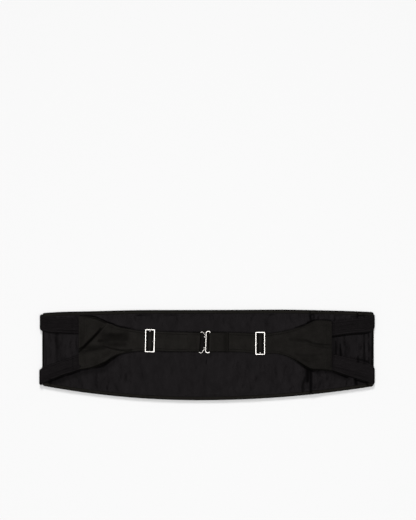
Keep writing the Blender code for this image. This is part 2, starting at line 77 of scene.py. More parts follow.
studio = {
    "cameraX": 0.96,
    "cameraY": 121.6,
    "cameraHeight": 3000.0,
    "lens": 162.3,
    "floorTone": (0.80, 0.80, 0.80),
    "skyStrength": 0.17,
    "wallStrength": 0.92,
    "keyStrength": 1.88,
    "keyElevation": 38.0,
    "keySoftness": 18.0,
    "keyTurn": 4.0,
    "topLightSize": 2.4,
    "topLightHeight": 3.4,
    "topLightRadiance": 4.85,
    # in metres
    "floorReach": 12.0,
    "floorLevel": -0.0001,
}


def setUpStudio(s):
    scene = bpy.context.scene
    scene.view_settings.view_transform = "Standard"
    camera = bpy.data.objects.new("camera", bpy.data.cameras.new("camera"))
    camera.location = (s["cameraX"] * mm, s["cameraY"] * mm, s["cameraHeight"] * mm)
    camera.data.lens = s["lens"]
    camera.data.sensor_width = 36.0
    camera.data.clip_end = 50.0
    scene.collection.objects.link(camera)
    scene.camera = camera

    world = bpy.data.worlds.new("studio")
    world.use_nodes = True
    # dim fill for the object, a pale wall where the camera sees past the floor
    seen = addNode(world.node_tree, "LightPath", {})
    strength = addNode(world.node_tree, "MapRange", {
        "Value": seen.outputs["Is Camera Ray"],
        "To Min": s["skyStrength"], "To Max": s["wallStrength"],
    })
    setInputs(world.node_tree, world.node_tree.nodes["Background"], {
        "Color": (1.0, 1.0, 1.0, 1.0), "Strength": strength.outputs["Result"],
    })
    scene.world = world

    # the key light stands beyond the top edge of the picture and shines towards its bottom edge
    key = bpy.data.objects.new("keyLight", bpy.data.lights.new("keyLight", "SUN"))
    key.data.energy = s["keyStrength"]
    key.data.angle = math.radians(s["keySoftness"])
    key.rotation_euler = (math.radians(s["keyElevation"] - 90.0), 0.0, math.radians(s["keyTurn"]))
    key.visible_glossy = False
    scene.collection.objects.link(key)

    # the overhead light, which the cloth and the metal reflect
    top = bpy.data.objects.new("topLight", bpy.data.lights.new("topLight", "AREA"))
    top.data.shape = "SQUARE"
    top.data.size = s["topLightSize"]
    top.data.energy = s["topLightRadiance"] * math.pi * s["topLightSize"] ** 2
    top.location = (0.0, 0.0, s["topLightHeight"])
    scene.collection.objects.link(top)

    corners = [(x * s["floorReach"], y * s["floorReach"], s["floorLevel"])
               for x, y in ((-1, -1), (1, -1), (1, 1), (-1, 1))]
    floorMesh = bpy.data.meshes.new("floor")
    floorMesh.from_pydata(corners, [], [(0, 1, 2, 3)])
    floor = bpy.data.objects.new("floor", floorMesh)
    scene.collection.objects.link(floor)
    paint, tree, shader = newMaterial("floorPaint")
    setInputs(tree, shader, {
        "Base Color": (*s["floorTone"], 1.0), "Roughness": 0.9, "Specular IOR Level": 0.0,
    })
    floorMesh.materials.append(paint)


setUpStudio(studio)
print("studio ready")


# surface helpers: whole arrays, in millimetres

def rise(low, high, value):
    # S curve from 0 at low to 1 at high: 3t^2 - 2t^3
    t = np.clip((value - low) / (high - low), 0.0, 1.0)
    return t * t * (3 - 2 * t)


def bell(distance, width):
    # exp(-(distance / width)^2)
    return np.exp(-((distance / width) ** 2))


def mound(x, y, centre, reach):
    # a bell along x times a bell along y
    return np.exp(-(((x - centre[0]) / reach[0]) ** 2) - (((y - centre[1]) / reach[1]) ** 2))


def quarterRound(share, least=0.0):
    # quarter circle from 0 at share 0 to 1 at share 1: sqrt(1 - (1 - share)^2)
    return np.sqrt(np.clip(1 - (1 - np.clip(share, 0.0, 1.0)) ** 2, least, 1.0))


def curveThrough(at, knots, values):
    # cubic Hermite curve through the knots, its slope at each knot the average of its neighbours'
    knots, values = np.asarray(knots, float), np.asarray(values, float)
    if knots[0] > knots[-1]:
        knots, values = knots[::-1], values[::-1]
    slopes = np.gradient(values, knots)
    cell = np.clip(np.searchsorted(knots, at, side="right") - 1, 0, len(knots) - 2)
    span = knots[cell + 1] - knots[cell]
    t = np.clip((at - knots[cell]) / span, 0.0, 1.0)
    start = (1 + 2 * t) * (1 - t) ** 2 * values[cell] + t * (1 - t) ** 2 * span * slopes[cell]
    return start + t**2 * (3 - 2 * t) * values[cell + 1] + t**2 * (t - 1) * span * slopes[cell + 1]


def cloudy(x, y, sizeX, sizeY, seed):
    # value noise: random numbers at the corners of sizeX by sizeY cells, blended across each cell
    # by S curves
    cells = 128
    field = np.random.default_rng(seed).uniform(-1.0, 1.0, (cells, cells))
    gx, gy = x / sizeX + cells / 2, y / sizeY + cells / 2
    ix, iy = np.floor(gx).astype(int), np.floor(gy).astype(int)
    tx, ty = rise(0.0, 1.0, gx - ix), rise(0.0, 1.0, gy - iy)

    def blendedRow(row):
        return field[ix % cells, row % cells] * (1 - tx) + field[(ix + 1) % cells, row % cells] * tx

    return blendedRow(iy) * (1 - ty) + blendedRow(iy + 1) * ty


foldColumns = ("xStart", "yStart", "xEnd", "yEnd", "bow", "leftWidth", "rightWidth", "height")


def folds(x, y, rows):
    # each row is a ridge (a trough if its height is below 0) along a line that bows to its left:
    # a bell with its own width on each side, which swells and fades by S curves over the first
    # and last third of the line
    total = np.zeros(np.broadcast(x, y).shape)
    for row in rows:
        f = dict(zip(foldColumns, row))
        dx, dy = f["xEnd"] - f["xStart"], f["yEnd"] - f["yStart"]
        length = math.hypot(dx, dy)
        t = ((x - f["xStart"]) * dx + (y - f["yStart"]) * dy) / length**2
        left = ((y - f["yStart"]) * dx - (x - f["xStart"]) * dy) / length
        left = left - f["bow"] * np.clip(4 * t * (1 - t), 0.0, 1.0)
        swell = f["height"] * rise(0.0, 0.33, t) * rise(0.0, 0.33, 1 - t)
        total = total + swell * bell(left, np.where(left > 0, f["leftWidth"], f["rightWidth"]))
    return total


shadeLineColumns = ("xStart", "yStart", "xEnd", "yEnd", "widthStart", "widthEnd", "shade")


def shadeLines(x, y, rows):
    # painted shade, 0 to 1, for how little light reaches in: each row is a line whose half-width
    # changes evenly from start to end, shaded as exp(-(distance / half-width)^3); the darkest row
    # counts
    dark = np.zeros(np.broadcast(x, y).shape)
    for row in rows:
        c = dict(zip(shadeLineColumns, row))
        dx, dy = c["xEnd"] - c["xStart"], c["yEnd"] - c["yStart"]
        length = math.hypot(dx, dy)
        t = ((x - c["xStart"]) * dx + (y - c["yStart"]) * dy) / length**2
        beside = np.abs((y - c["yStart"]) * dx - (x - c["xStart"]) * dy) / length
        beyond = np.maximum(np.maximum(-t, t - 1), 0.0) * length
        width = c["widthStart"] + (c["widthEnd"] - c["widthStart"]) * np.clip(t, 0.0, 1.0)
        dark = np.maximum(dark, c["shade"] * np.exp(-((np.hypot(beside, beyond) / width) ** 3)))
    return dark


def facesOut(points, quads):
    # the sum of (a x b) . c over a closed shell's corners is below 0 when it is inside out
    corners = points[quads]
    volume = np.einsum("ij,ij->", np.cross(corners[:, 0], corners[:, 1]), corners[:, 2])
    return volume + np.einsum("ij,ij->", np.cross(corners[:, 0], corners[:, 2]), corners[:, 3]) > 0


def newPiece(name, points, quads, uv, material, paintedShade=None):
    # points (n, 3) in millimetres; quads (m, 4); uv (m, 4, 2) in millimetres or None;
    # painted shade per point (n,), 0 to 1, or None
    if not facesOut(points, quads):
        quads = quads[:, ::-1]
        uv = None if uv is None else uv[:, ::-1]
    mesh = bpy.data.meshes.new(name)
    mesh.vertices.add(len(points))
    mesh.vertices.foreach_set("co", (points * mm).astype(np.float32).ravel())
    mesh.loops.add(quads.size)
    mesh.loops.foreach_set("vertex_index", quads.astype(np.int32).ravel())
    mesh.polygons.add(len(quads))
    mesh.polygons.foreach_set("loop_start", np.arange(0, quads.size, 4, dtype=np.int32))
    if uv is not None:
        layer = mesh.uv_layers.new(name="cloth")
        layer.data.foreach_set("uv", np.ascontiguousarray(uv, np.float32).ravel())
    # the painted shade goes on each point as an attribute that the cloth finish reads
    if paintedShade is not None:
        layer = mesh.attributes.new("paintedShade", "FLOAT", "POINT")
        layer.data.foreach_set("value", np.ascontiguousarray(paintedShade, np.float32).ravel())
    mesh.update(calc_edges=True)
    mesh.validate()
    mesh.shade_smooth()
    mesh.materials.append(material)
    piece = bpy.data.objects.new(name, mesh)
    bpy.context.scene.collection.objects.link(piece)
    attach(piece, "root")
    return piece


def gridQuads(index):
    # the quads between neighbours in a grid of point numbers
    quads = [index[:-1, :-1], index[1:, :-1], index[1:, 1:], index[:-1, 1:]]
    return np.stack(quads, axis=-1).reshape(-1, 4)


def shellQuads(stations, places):
    # a ring of places carried over the stations, zipped shut at both ends
    index = np.arange(stations * places).reshape(stations, places)
    around = np.concatenate([index, index[:, :1]], axis=1)
    half = np.arange(places // 2 - 1)
    zipped = np.stack([half, half + 1, places - 2 - half, places - 1 - half], axis=-1)
    return np.concatenate([gridQuads(around), index[0][zipped], index[-1][zipped][:, ::-1]])


def clothShell(name, upper, lower, along, across, material, paintedShade):
    # upper and lower (station, place, xyz) face each other; the ring goes out on one and back on
    # the other
    ring = np.concatenate([upper, lower[:, ::-1]], axis=1)
    quads = shellQuads(*ring.shape[:2])
    flat = np.stack(np.broadcast_arrays(along, across), axis=-1)
    flat = np.concatenate([flat, flat[:, ::-1]], axis=1).reshape(-1, 2)
    # painted shade on the upper side only
    paintedShade = np.concatenate([paintedShade, 0 * paintedShade], axis=1)
    return newPiece(name, ring.reshape(-1, 3), quads, flat[quads], material, paintedShade)


edgeColumns = ("x", "top", "bottom")


def between(rows, at, name):
    # the top or bottom edge of a strip, read from its table of x, top, bottom
    table = np.array(rows, float)
    return curveThrough(at, table[:, 0], table[:, edgeColumns.index(name)])


def spaced(low, high, count, spots):
    # count numbers from low to high, closer together round each spot: (centre, reach, gain)
    fine = np.linspace(low, high, 1200)
    extra = (gain * bell(fine - centre, reach) for centre, reach, gain in spots)
    density = 1 + sum(extra, 0 * fine)
    total = np.append(0.0, np.cumsum(density[1:] + density[:-1]))
    return np.interp(np.linspace(0.0, total[-1], count), total, fine)


def curled(away, height, reach):
    # a long edge that stands up a little way in and turns down again over the last stretch
    return height * bell(away - reach, 2.6 * reach) * rise(0.0, reach, away)


edgeSteps = np.array([0.0, 0.04, 0.14, 0.32, 0.6, 1.1])


def places(low, high, count):
    # y of each place from one edge of a strip to the other, close together where it rounds off
    low, high = np.asarray(low)[:, None], np.asarray(high)[:, None]
    inner = np.linspace(0.0, 1.0, count)[1:-1]
    reach = edgeSteps[-1]
    middle = low + reach + (high - low - 2 * reach) * inner
    return np.concatenate([low + edgeSteps, middle, high - edgeSteps[::-1]], axis=1)


def edgeRound(y, low, high, radius):
    # half-thickness of a strip near its edges, 1 further in
    fromEdge = np.minimum(y - np.asarray(low)[:, None], np.asarray(high)[:, None] - y)
    return quarterRound(fromEdge / radius)


def newGroup(name, numbers, results):
    # a node group that takes a Place in millimetres and some numbers, and gives numbers
    group = bpy.data.node_groups.new(name, "ShaderNodeTree")
    group.interface.new_socket("Place", in_out="INPUT", socket_type="NodeSocketVector")
    for labels, way in ((numbers, "INPUT"), (results, "OUTPUT")):
        for label in labels:
            group.interface.new_socket(label, in_out=way, socket_type="NodeSocketFloat")
    return group, group.nodes.new("NodeGroupInput").outputs, group.nodes.new("NodeGroupOutput")


def weaveGroup():
    # threads cross every Pitch; Slant shifts each row by that share of a thread, which makes
    # twill (0.5) or satin (0.2) out of plain weave; Cloud is the size of the patches in tone and
    # lustre, and Stretch their length along Y over that along X
    group, given, end = newGroup("clothWeave", ("Pitch", "Slant", "Cloud", "Stretch"),
                                 ("Height", "Tone", "Lustre"))
    split = addNode(group, "SeparateXYZ", {0: given["Place"]}).outputs
    along = compute(group, "DIVIDE", split["X"], given["Pitch"])
    across = compute(group, "DIVIDE", split["Y"], given["Pitch"])
    shifted = compute(group, "MULTIPLY_ADD", across, given["Slant"], along)
    warp, weft = (
        compute(group, "ABSOLUTE", compute(group, "SINE", compute(group, "MULTIPLY", turn, math.pi)))
        for turn in (shifted, across))

    squeezedY = compute(group, "DIVIDE", split["Y"], given["Stretch"])
    squeezed = addNode(group, "CombineXYZ", {"X": split["X"], "Y": squeezedY})
    broad, fine = (
        addNode(group, "TexNoise", {
            "Vector": squeezed.outputs[0], "Detail": detail, "Roughness": 0.6,
            "Scale": compute(group, "DIVIDE", 1.0, compute(group, "MULTIPLY", given["Cloud"], share)),
        }).outputs["Fac"]
        for share, detail in ((1.0, 4.0), (0.22, 3.0)))
    threads = compute(group, "MULTIPLY_ADD", weft, 0.5, warp)
    setInputs(group, end, {
        "Height": compute(group, "MULTIPLY_ADD", fine, 0.8, threads),
        "Tone": compute(group, "MULTIPLY_ADD", fine, 0.4, compute(group, "MULTIPLY", broad, 0.6)),
        "Lustre": compute(group, "MULTIPLY_ADD", warp, 0.25, compute(group, "MULTIPLY", broad, 0.75)),
    })
    return group


def polishGroup():
    # smudges and hairline scratches of handled plate
    group, given, end = newGroup("handledPolish", ("Smudge",), ("Dull", "Scratch"))
    smudge = addNode(group, "TexNoise", {
        "Vector": given["Place"], "Detail": 4.0,
        "Scale": compute(group, "DIVIDE", 1.0, given["Smudge"]),
    })
    squeezed = addNode(group, "VectorMath", {0: given["Place"], 1: (9.0, 0.5, 9.0)},
                       operation="MULTIPLY")
    hair = addNode(group, "TexNoise", {"Vector": squeezed.outputs[0], "Detail": 2.0})
    setInputs(group, end, {
        "Dull": smudge.outputs["Fac"],
        "Scratch": compute(group, "POWER", hair.outputs["Fac"], 3.0),
    })
    return group


clothWeave = weaveGroup()
handledPolish = polishGroup()


def placeInMillimetres(tree, source):
    # the UV map is in millimetres already, Object coordinates are in metres
    if source != "object":
        return addNode(tree, "UVMap", {}, uv_map=source).outputs["UV"]
    place = addNode(tree, "TexCoord", {}).outputs["Object"]
    return addNode(tree, "VectorMath", {0: place, "Scale": 1000.0}, operation="SCALE").outputs[0]


def rangeOf(tree, value, low, high):
    # low where the pattern is 0.3 or less, high where it is 0.7 or more
    return addNode(tree, "MapRange", {
        "Value": value, "From Min": 0.3, "From Max": 0.7, "To Min": low, "To Max": high,
    }).outputs["Result"]


def clothFinish(name, s):
    material, tree, shader = newMaterial(name)
    weave = addNode(tree, "Group", {
        "Place": placeInMillimetres(tree, s["source"]),
        "Pitch": s["pitch"], "Slant": s["slant"], "Cloud": s["cloud"], "Stretch": s["stretch"],
    }, node_tree=clothWeave).outputs
    patches = rangeOf(tree, weave["Tone"], 0.0, 1.0)
    tone = blend(tree, patches, (*s["dark"], 1.0), (*s["light"], 1.0))
    # the attribute read here is painted shade, 0 to 1, for how little light reaches into creases,
    # under edges and onto rims: the cloth's colour is painted darker by it, and roughness r becomes
    # ((spread + r^4) / (1 - shade) - spread)^(1/4), which dims the gloss by that share
    paintedShade = addNode(tree, "Attribute", {}, attribute_name="paintedShade").outputs["Fac"]
    spread = 0.037
    rough = rangeOf(tree, weave["Lustre"], s["roughHigh"], s["roughLow"])
    rough = compute(tree, "ADD", compute(tree, "POWER", rough, 4.0), spread)
    rough = compute(tree, "DIVIDE", rough, compute(tree, "SUBTRACT", 1.0, paintedShade))
    rough = compute(tree, "POWER", compute(tree, "SUBTRACT", rough, spread), 0.25)
    bump = addNode(tree, "Bump", {
        "Strength": s["bump"], "Distance": 0.03 * mm, "Height": weave["Height"],
    })
    setInputs(tree, shader, {
        "Base Color": blend(tree, paintedShade, tone, (0.0, 0.0, 0.0, 1.0)),
        "Roughness": compute(tree, "MINIMUM", rough, 1.0),
        "Normal": bump.outputs["Normal"],
        "Specular IOR Level": s["specular"],
        "Specular Tint": (*s["tint"], 1.0),
        # a slight fuzz that only shows at low angles
        "Sheen Weight": 0.03,
        "Sheen Roughness": 0.3,
        "Sheen Tint": (*s["tint"], 1.0),
    })
    return material


pleatedSatin = clothFinish("pleatedSatin", {
    "source": "object", "pitch": 0.22, "slant": 0.2, "cloud": 14.0, "stretch": 0.5,
    "dark": (0.0012, 0.0011, 0.0009), "light": (0.0018, 0.0017, 0.0014),
    "roughLow": 0.40, "roughHigh": 0.50, "bump": 0.35, "specular": 0.056,
    "tint": (1.0, 0.915, 0.79),
})
liningSatin = clothFinish("liningSatin", {
    "source": "object", "pitch": 0.14, "slant": 0.2, "cloud": 11.0, "stretch": 2.2,
    "dark": (0.0011, 0.0009, 0.0010), "light": (0.0017, 0.0014, 0.0016),
    "roughLow": 0.35, "roughHigh": 0.47, "bump": 0.25, "specular": 0.047,
    "tint": (1.0, 0.908, 0.952),
})
elasticWeave = clothFinish("elasticWeave", {
    "source": "cloth", "pitch": 0.45, "slant": 0.0, "cloud": 9.0, "stretch": 0.3,
    "dark": (0.0012, 0.0010, 0.0011), "light": (0.0019, 0.0016, 0.0017),
    "roughLow": 0.50, "roughHigh": 0.60, "bump": 0.6, "specular": 0.072,
    "tint": (1.0, 0.897, 0.936),
})
wingTwill = clothFinish("wingTwill", {
    "source": "cloth", "pitch": 0.3, "slant": 0.5, "cloud": 10.0, "stretch": 1.0,
    "dark": (0.0014, 0.0013, 0.0011), "light": (0.0021, 0.0020, 0.0017),
    "roughLow": 0.44, "roughHigh": 0.55, "bump": 0.45, "specular": 0.076,
    "tint": (1.0, 0.915, 0.837),
})
sewingThread = clothFinish("sewingThread", {
    "source": "object", "pitch": 0.12, "slant": 1.0, "cloud": 3.0, "stretch": 1.0,
    "dark": (0.0016, 0.0015, 0.0014), "light": (0.0030, 0.0028, 0.0026),
    "roughLow": 0.45, "roughHigh": 0.6, "bump": 0.5, "specular": 0.06,
    "tint": (1.0, 0.93, 0.88),
})


def nickelFinish():
    material, tree, shader = newMaterial("brightNickel")
    polish = addNode(tree, "Group", {
        "Place": placeInMillimetres(tree, "object"), "Smudge": 5.0,
    }, node_tree=handledPolish).outputs
    bump = addNode(tree, "Bump", {
        "Strength": 0.15, "Distance": 0.02 * mm, "Height": polish["Scratch"],
    })
    dullAndShade = rangeOf(tree, polish["Dull"], 0.0, 1.0)
    setInputs(tree, shader, {
        "Base Color": blend(tree, dullAndShade, (0.68, 0.66, 0.63, 1.0), (0.58, 0.56, 0.53, 1.0)),
        "Roughness": rangeOf(tree, polish["Dull"], 0.20, 0.32),
        "Normal": bump.outputs["Normal"],
        "Metallic": 1.0,
    })
    return material


brightNickel = nickelFinish()
print("finishes ready")


# the front panel: pleated cloth on the side that lies down, its edges turned over onto the back

panel = {
    "left": -211.0, "right": 212.9, "half": 57.7,
    "bottomPeak": -10.0, "bottomRiseLeft": 18.6, "bottomRiseRight": 18.0,
    "corner": 3.0, "borderTop": 3.8, "floor": 2.4, "middle": 1.9, "edgeReach": (1.5, 1.1),
    "endHem": 2.0, "hemTop": 3.75, "endRound": 1.6, "pleats": 5, "stations": 330,
    # stations stand closer together at the creased corner: centre, reach, gain
    "busy": ((133.0, 8.0, 3.0), (193.0, 8.0, 3.0)),
}


# height of the top edge, which waves a little: x, y
topLine = ((-211, 53.8), (-188.5, 55.1), (-150, 56), (-86, 57.5), (-35, 57.6), (40, 57.8),
           (105, 58.05), (150, 57.15), (176, 56.5), (213, 55))


def panelTop(x):
    return curveThrough(x, *zip(*topLine))


def panelBottom(x):
    p = panel
    left = p["bottomRiseLeft"] * ((x - p["bottomPeak"]) / (p["left"] - p["bottomPeak"])) ** 2
    right = p["bottomRiseRight"] * ((x - p["bottomPeak"]) / (p["right"] - p["bottomPeak"])) ** 2
    return -p["half"] + np.where(x < p["bottomPeak"], left, right)


# a pleat's fold: y beyond the fold's line, height
pleatFold = ((-2, 0), (-0.55, 0), (-0.2, 0.08), (-0.05, 0.22), (0, 0.42), (0.02, 0.62), (0.1, 0.9))
# its face beyond that: share of the way to the next fold, height
pleatFace = ((0.04, 0.9), (0.1, 0.78), (0.18, 0.45), (0.25, 0.14), (0.31, 0.02), (0.36, 0))
# the border turned over onto the back: y in from the edge, height
turnedBorder = ((2.2, 3.82), (3, 3.8), (3.9, 3.8), (4.5, 3.72), (4.8, 3.5), (4.9, 3), (5, 2.4))

# folds of the border where it is drawn in over the crumpled corner of the lining
borderDents = (
    (132.6, 67, 132.4, 38, 0, 9, 1.7, 0.6),
    (193.8, 64, 193.6, 43, 0, 9, 1.8, 0.8),
    (134.4, -36, 134.2, -66, 0, 9, 2.2, 0.8),
    (123.4, -36, 123.2, -66, 0, 5, 2, 0.4),
)

# painted shade in the ruck under the right wing's corner, where the creased corner crosses the
# border, and in a few dark spots near the ends
ruckShade = (
    (132.2, -17, 132.3, -47.8, 2.6, 2.1, 0.78),
    (128.8, -16, 128.2, -33, 4, 2.9, 0.82),
    (125.6, -29, 122.6, -37, 2.3, 1.5, 0.66),
    (122.6, -37, 122.2, -46.5, 1.5, 1.5, 0.56),
    (137.4, -24, 137.4, -42, 0.9, 0.7, 0.14),
    (131.6, 57.5, 131.2, 51, 1, 1.5, 0.45),
    (131.2, 51, 132.8, 45, 1.5, 1.7, 0.70),
    (141.6, 49, 141.6, 45, 1.1, 1.2, 0.62),
    (146, 55, 146, 49, 0.8, 0.8, 0.20),
    (192, 54.8, 191.4, 48.8, 1.2, 1.9, 0.74),
    (184.6, 49.6, 191.6, 49.4, 1.3, 1.6, 0.50),
    (199.6, 52.4, 199.8, 49.6, 1.4, 1.6, 0.34),
    (203.4, -34.4, 205.4, -39.2, 1.9, 2.2, 0.78),
    (-200.4, -35, -200.8, -39, 1.8, 1.6, 0.60),
    (211.5, 30.5, 211.7, -12, 0.8, 0.9, 0.30),
    (210.2, -7.4, 210.4, -12.4, 1.4, 1.6, 0.75),
)


def makeFrontPanel(p):
    # stations close together round the two ends' corners
    turn = np.radians(np.linspace(0.0, 90.0, 9))
    cornerIn = p["corner"] * (1 - np.cos(turn))
    inset = p["corner"] * (1 - np.sin(turn))
    first, last = p["left"] + p["corner"] + 1.0, p["right"] - p["corner"] - 1.0
    x = spaced(first, last, p["stations"], p["busy"])
    x = np.concatenate([p["left"] + cornerIn, x, (p["right"] - cornerIn)[::-1]])
    inset = np.concatenate([inset, np.zeros(p["stations"]), inset[::-1]])
    fromEnd = np.minimum(x - p["left"], p["right"] - x)
    low, high = panelBottom(x) + inset, panelTop(x) - inset
    strip = (panelTop(x) - panelBottom(x)) / p["pleats"]

    # one slice, as (y, height): each long edge is a half-round of cloth turned over
    bend = np.radians(np.linspace(-90.0, 90.0, 15))
    edgeIn = np.where(bend < 0, *p["edgeReach"]) * (1 - np.cos(bend))
    edgeUp = p["middle"] + p["middle"] * np.sin(bend)
    edge = list(zip(edgeIn, edgeUp))
    section = [(low + inward, up) for inward, up in edge[::-1]]
    for pleat in range(1, p["pleats"]):
        fold = panelBottom(x) + strip * pleat
        section += [(fold + beyond, up) for beyond, up in pleatFold]
        section += [(fold + strip * share, up) for share, up in pleatFace]
    section += [(high - inward, up) for inward, up in (*edge, *turnedBorder)]
    section += [(low * (1 - share) + high * share, p["floor"]) for share in (0.75, 0.5, 0.25)]
    section += [(low + inward, up) for inward, up in turnedBorder[::-1]]
    y = np.stack([row[0] for row in section], axis=1)
    z = np.broadcast_to(np.array([row[1] for row in section]), y.shape).copy()
    xs = np.repeat(x[:, None], y.shape[1], axis=1)

    # the end hems close the sunk floor, and both ends round off
    hem = 1 - rise(p["endHem"] - 0.25, p["endHem"] + 0.05, fromEnd)[:, None]
    sunk = (z < 3.6) & (z > p["middle"]) & (y > low[:, None] + 2.0) & (y < high[:, None] - 2.0)
    z = np.where(sunk, z + (p["hemTop"] - z) * hem, z)
    squash = quarterRound(fromEnd / p["endRound"], 0.03)[:, None]
    z = p["middle"] + (z - p["middle"]) * squash
    onBorder = rise(2.6, 3.4, z)
    z = z + onBorder * (folds(xs, y, borderDents) + 0.10 * cloudy(xs, y, 9.0, 6.0, 3))
    points = np.stack([xs, y, np.maximum(z, 0.0)], axis=-1)
    if points.shape[1] % 2:
        points = np.concatenate([points, (points[:, -1:] + points[:, :1]) / 2], axis=1)
    quads = shellQuads(*points.shape[:2])
    # painted shade along its rim, which turns away from the light, and where creases cross the border
    xs, y, z = np.moveaxis(points, -1, 0)
    fromRim = np.minimum(y - panelBottom(x)[:, None], panelTop(x)[:, None] - y)
    rimShade = 0.42 * (1 - rise(0.7, 1.7, np.minimum(fromRim, fromEnd[:, None])))
    paintedShade = np.maximum(shadeLines(xs, y, ruckShade) * rise(1.0, 3.0, z), rimShade)
    piece = newPiece("pleatedCloth", points.reshape(-1, 3), quads, None, pleatedSatin, paintedShade)
    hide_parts("front_panel")


makeFrontPanel(panel)
print("front panel ready")


# the lining inside the border, with its rucks and puckers

lining = {
    "left": -209.4, "right": 211.0, "inset": 4.3, "level": 3.84, "under": 2.72, "least": 0.12,
    "onBorder": 3.84, "hem": 4.02, "stitchStep": 6.4, "stations": 430, "across": 104,
    # where stations stand close together: centre, reach, gain
    "busy": ((-185.0, 22.0, 1.5), (-130.0, 14.0, 1.0), (131.0, 10.0, 3.0), (168.0, 10.0, 2.0),
             (200.0, 11.0, 2.0)),
}
liningFolds = (
    # the forked ruck below the right wing's corner
    (133.8, -3, 133.8, -47, 0, 12, 2.4, 0.9),
    (126.4, -20, 121.8, -49, -0.6, 5, 1.8, 0.5),
    # short creases at the top, right of the wing's shoulder
    (132.6, 67, 132.6, 38, 0, 9, 1.7, 0.8),
    (142.8, 54, 142.6, 41, 0, 5, 1.4, 0.4),
    (193.6, 64, 193.4, 43, 0, 9, 1.8, 0.9),
    (201, 60, 201.2, 44, 0, 6, 2, 0.4),
    # between the two right bands
    (165.2, 24, 165, -5, 0, 5, 1.6, 0.3),
    (171.2, 22, 172.2, -10, 0, 10, 1.8, 0.7),
    (194, 3, 194.4, -12, 0, 6, 1.8, 0.5),
    (201.7, 44, 202, -24, 0.2, 9, 1.8, 0.7),
    # between the two left bands
    (-190.2, 36, -189.8, -16, 0.3, 8, 3, 0.5),
    (-185.2, 34, -185, -10, 0, 5, 3, 0.25),
    (-166.4, 26, -165.8, 2, 0, 3, 2, 0.4),
    (-172.5, 30, -173, -10, 0, 3.4, 2.8, 0.3),
    # drawn down from the lower left band and wing
    (-166.6, -27, -164.4, -42, 0, 2, 1.8, -0.3),
    (-161, -24, -157, -46, 1, 3.2, 3, 0.35),
    (-147, -20, -144, -46, -0.6, 2.4, 2.4, -0.3),
    (-141, -17, -138.6, -50, 0.8, 3.4, 3, 0.4),
    (-128, -14, -129.6, -46, 0, 2.6, 2.4, -0.25),
    (-115, -8, -112.4, -32, 0.8, 2.6, 2.4, -0.25),
    (-108.6, -6, -107, -38, 0, 3.4, 3.2, 0.3),
    (-98.6, -14, -101.6, -44, 0.8, 2.6, 2.6, -0.2),
    (-84, -8, -80, -34, 0, 3.4, 3.4, 0.3),
    (-67, -14, -66, -42, 0.8, 2.8, 2.6, -0.25),
    (-58, -10, -62, -36, 0, 3.2, 3.2, 0.3),
    (-37, -16, -34, -48, 0, 2.8, 2.8, -0.25),
    (-16, -10, -20, -40, 0.6, 3.2, 3.2, 0.3),
    (12, -18, 10, -48, 0, 2.6, 2.6, -0.25),
    (36.6, 0, 36, -18, 0, 2.6, 2.6, -0.3),
    (48, -14, 44, -44, 0.8, 3, 2.8, 0.3),
    (66, -8, 64, -36, 0, 2.6, 2.6, -0.25),
    (84, -12, 88, -46, 0.6, 2.8, 2.8, 0.3),
    (101, -10, 98, -42, 0, 2.6, 2.6, -0.25),
    # along the top, above the straps
    (-52, 52, -50, 36, 0, 2.6, 2.6, -0.25),
    (-88, 53, -86, 38, 0, 3, 2.8, -0.25),
    (-18, 52, -20, 38, 0, 2.8, 2.4, -0.2),
    (22, 52, 24, 36, 0, 2.8, 2.6, -0.25),
    (58, 53, 56, 34, 0, 2.6, 2.6, -0.3),
    (79, 52, 80, 34, 0, 2.2, 2.2, -0.3),
    (96, 52, 98, 38, 0, 3, 2.8, 0.3),
    (110, 53, 108, 42, 0, 2.4, 2.4, -0.3),
)


# long edges of the strips that lie on the lining: x, top, bottom
bandEdges = {
    "band_left_upper": (
        (-214, 52.3, 32), (-210, 50.4, 30.6), (-205, 48.4, 29), (-190, 48, 27.9),
        (-162, 47.6, 26.5),
    ),
    "band_left_lower": (
        (-214.7, -18.2, -38.4), (-209.8, -14.8, -37), (-204, -13, -34.2), (-194, -9.6, -30),
        (-184, -6.1, -26.2), (-172, -2, -22.5), (-162, 1.5, -19),
    ),
    "band_right_upper": (
        (214.1, 52.4, 34.3), (211.5, 51.2, 31.6), (206.5, 49, 29.6), (186.6, 46.8, 27.2),
        (157.4, 43.2, 23.6),
    ),
    "band_right_lower": (
        (214.1, -16.2, -37), (211, -13.2, -36.8), (205, -9.8, -35), (192, -6, -31.3),
        (157.4, 2, -20),
    ),
}
leftEdges = (
    (-164, 50.2, -18.8), (-152, 50, -17.3), (-144, 48.6, -15.9), (-136.6, 45.6, -13.6),
    (-129, 42, -10.4), (-121.3, 39.4, -4.9), (-113.5, 36.4, 0.3), (-104, 34.5, 3), (-92, 32.4, 4.8),
    (-80, 30.9, 5.5), (-76.5, 30.9, 5.6), (-73.4, 30.9, 5.7), (-70.3, 30.9, 5.6), (-67, 30.9, 5.5),
    (-55, 30.3, 4.9), (-20, 29.3, 4.4), (-8, 28.9, 4.4),
)
rightEdges = (
    (158.9, 43.7, -20.4), (150, 44.6, -19.8), (142, 44.8, -19.6), (135, 43.4, -19.6),
    (128, 40, -17), (119.4, 36.6, -11.7), (109.1, 33.4, -5.2), (98.9, 31, -0.4), (88, 29.2, 1.9),
    (74, 27.7, 2.3), (70.7, 27.9, 2.9), (67.6, 27.9, 3.1), (64.5, 27.9, 2.9), (61, 27.7, 2.4),
    (50, 28.4, 3.4), (11, 29.1, 4.4), (0, 28.9, 4.4),
)

# x of the seams where the bands end in the wings
seamLeft, seamRight = -163.5, 158.9

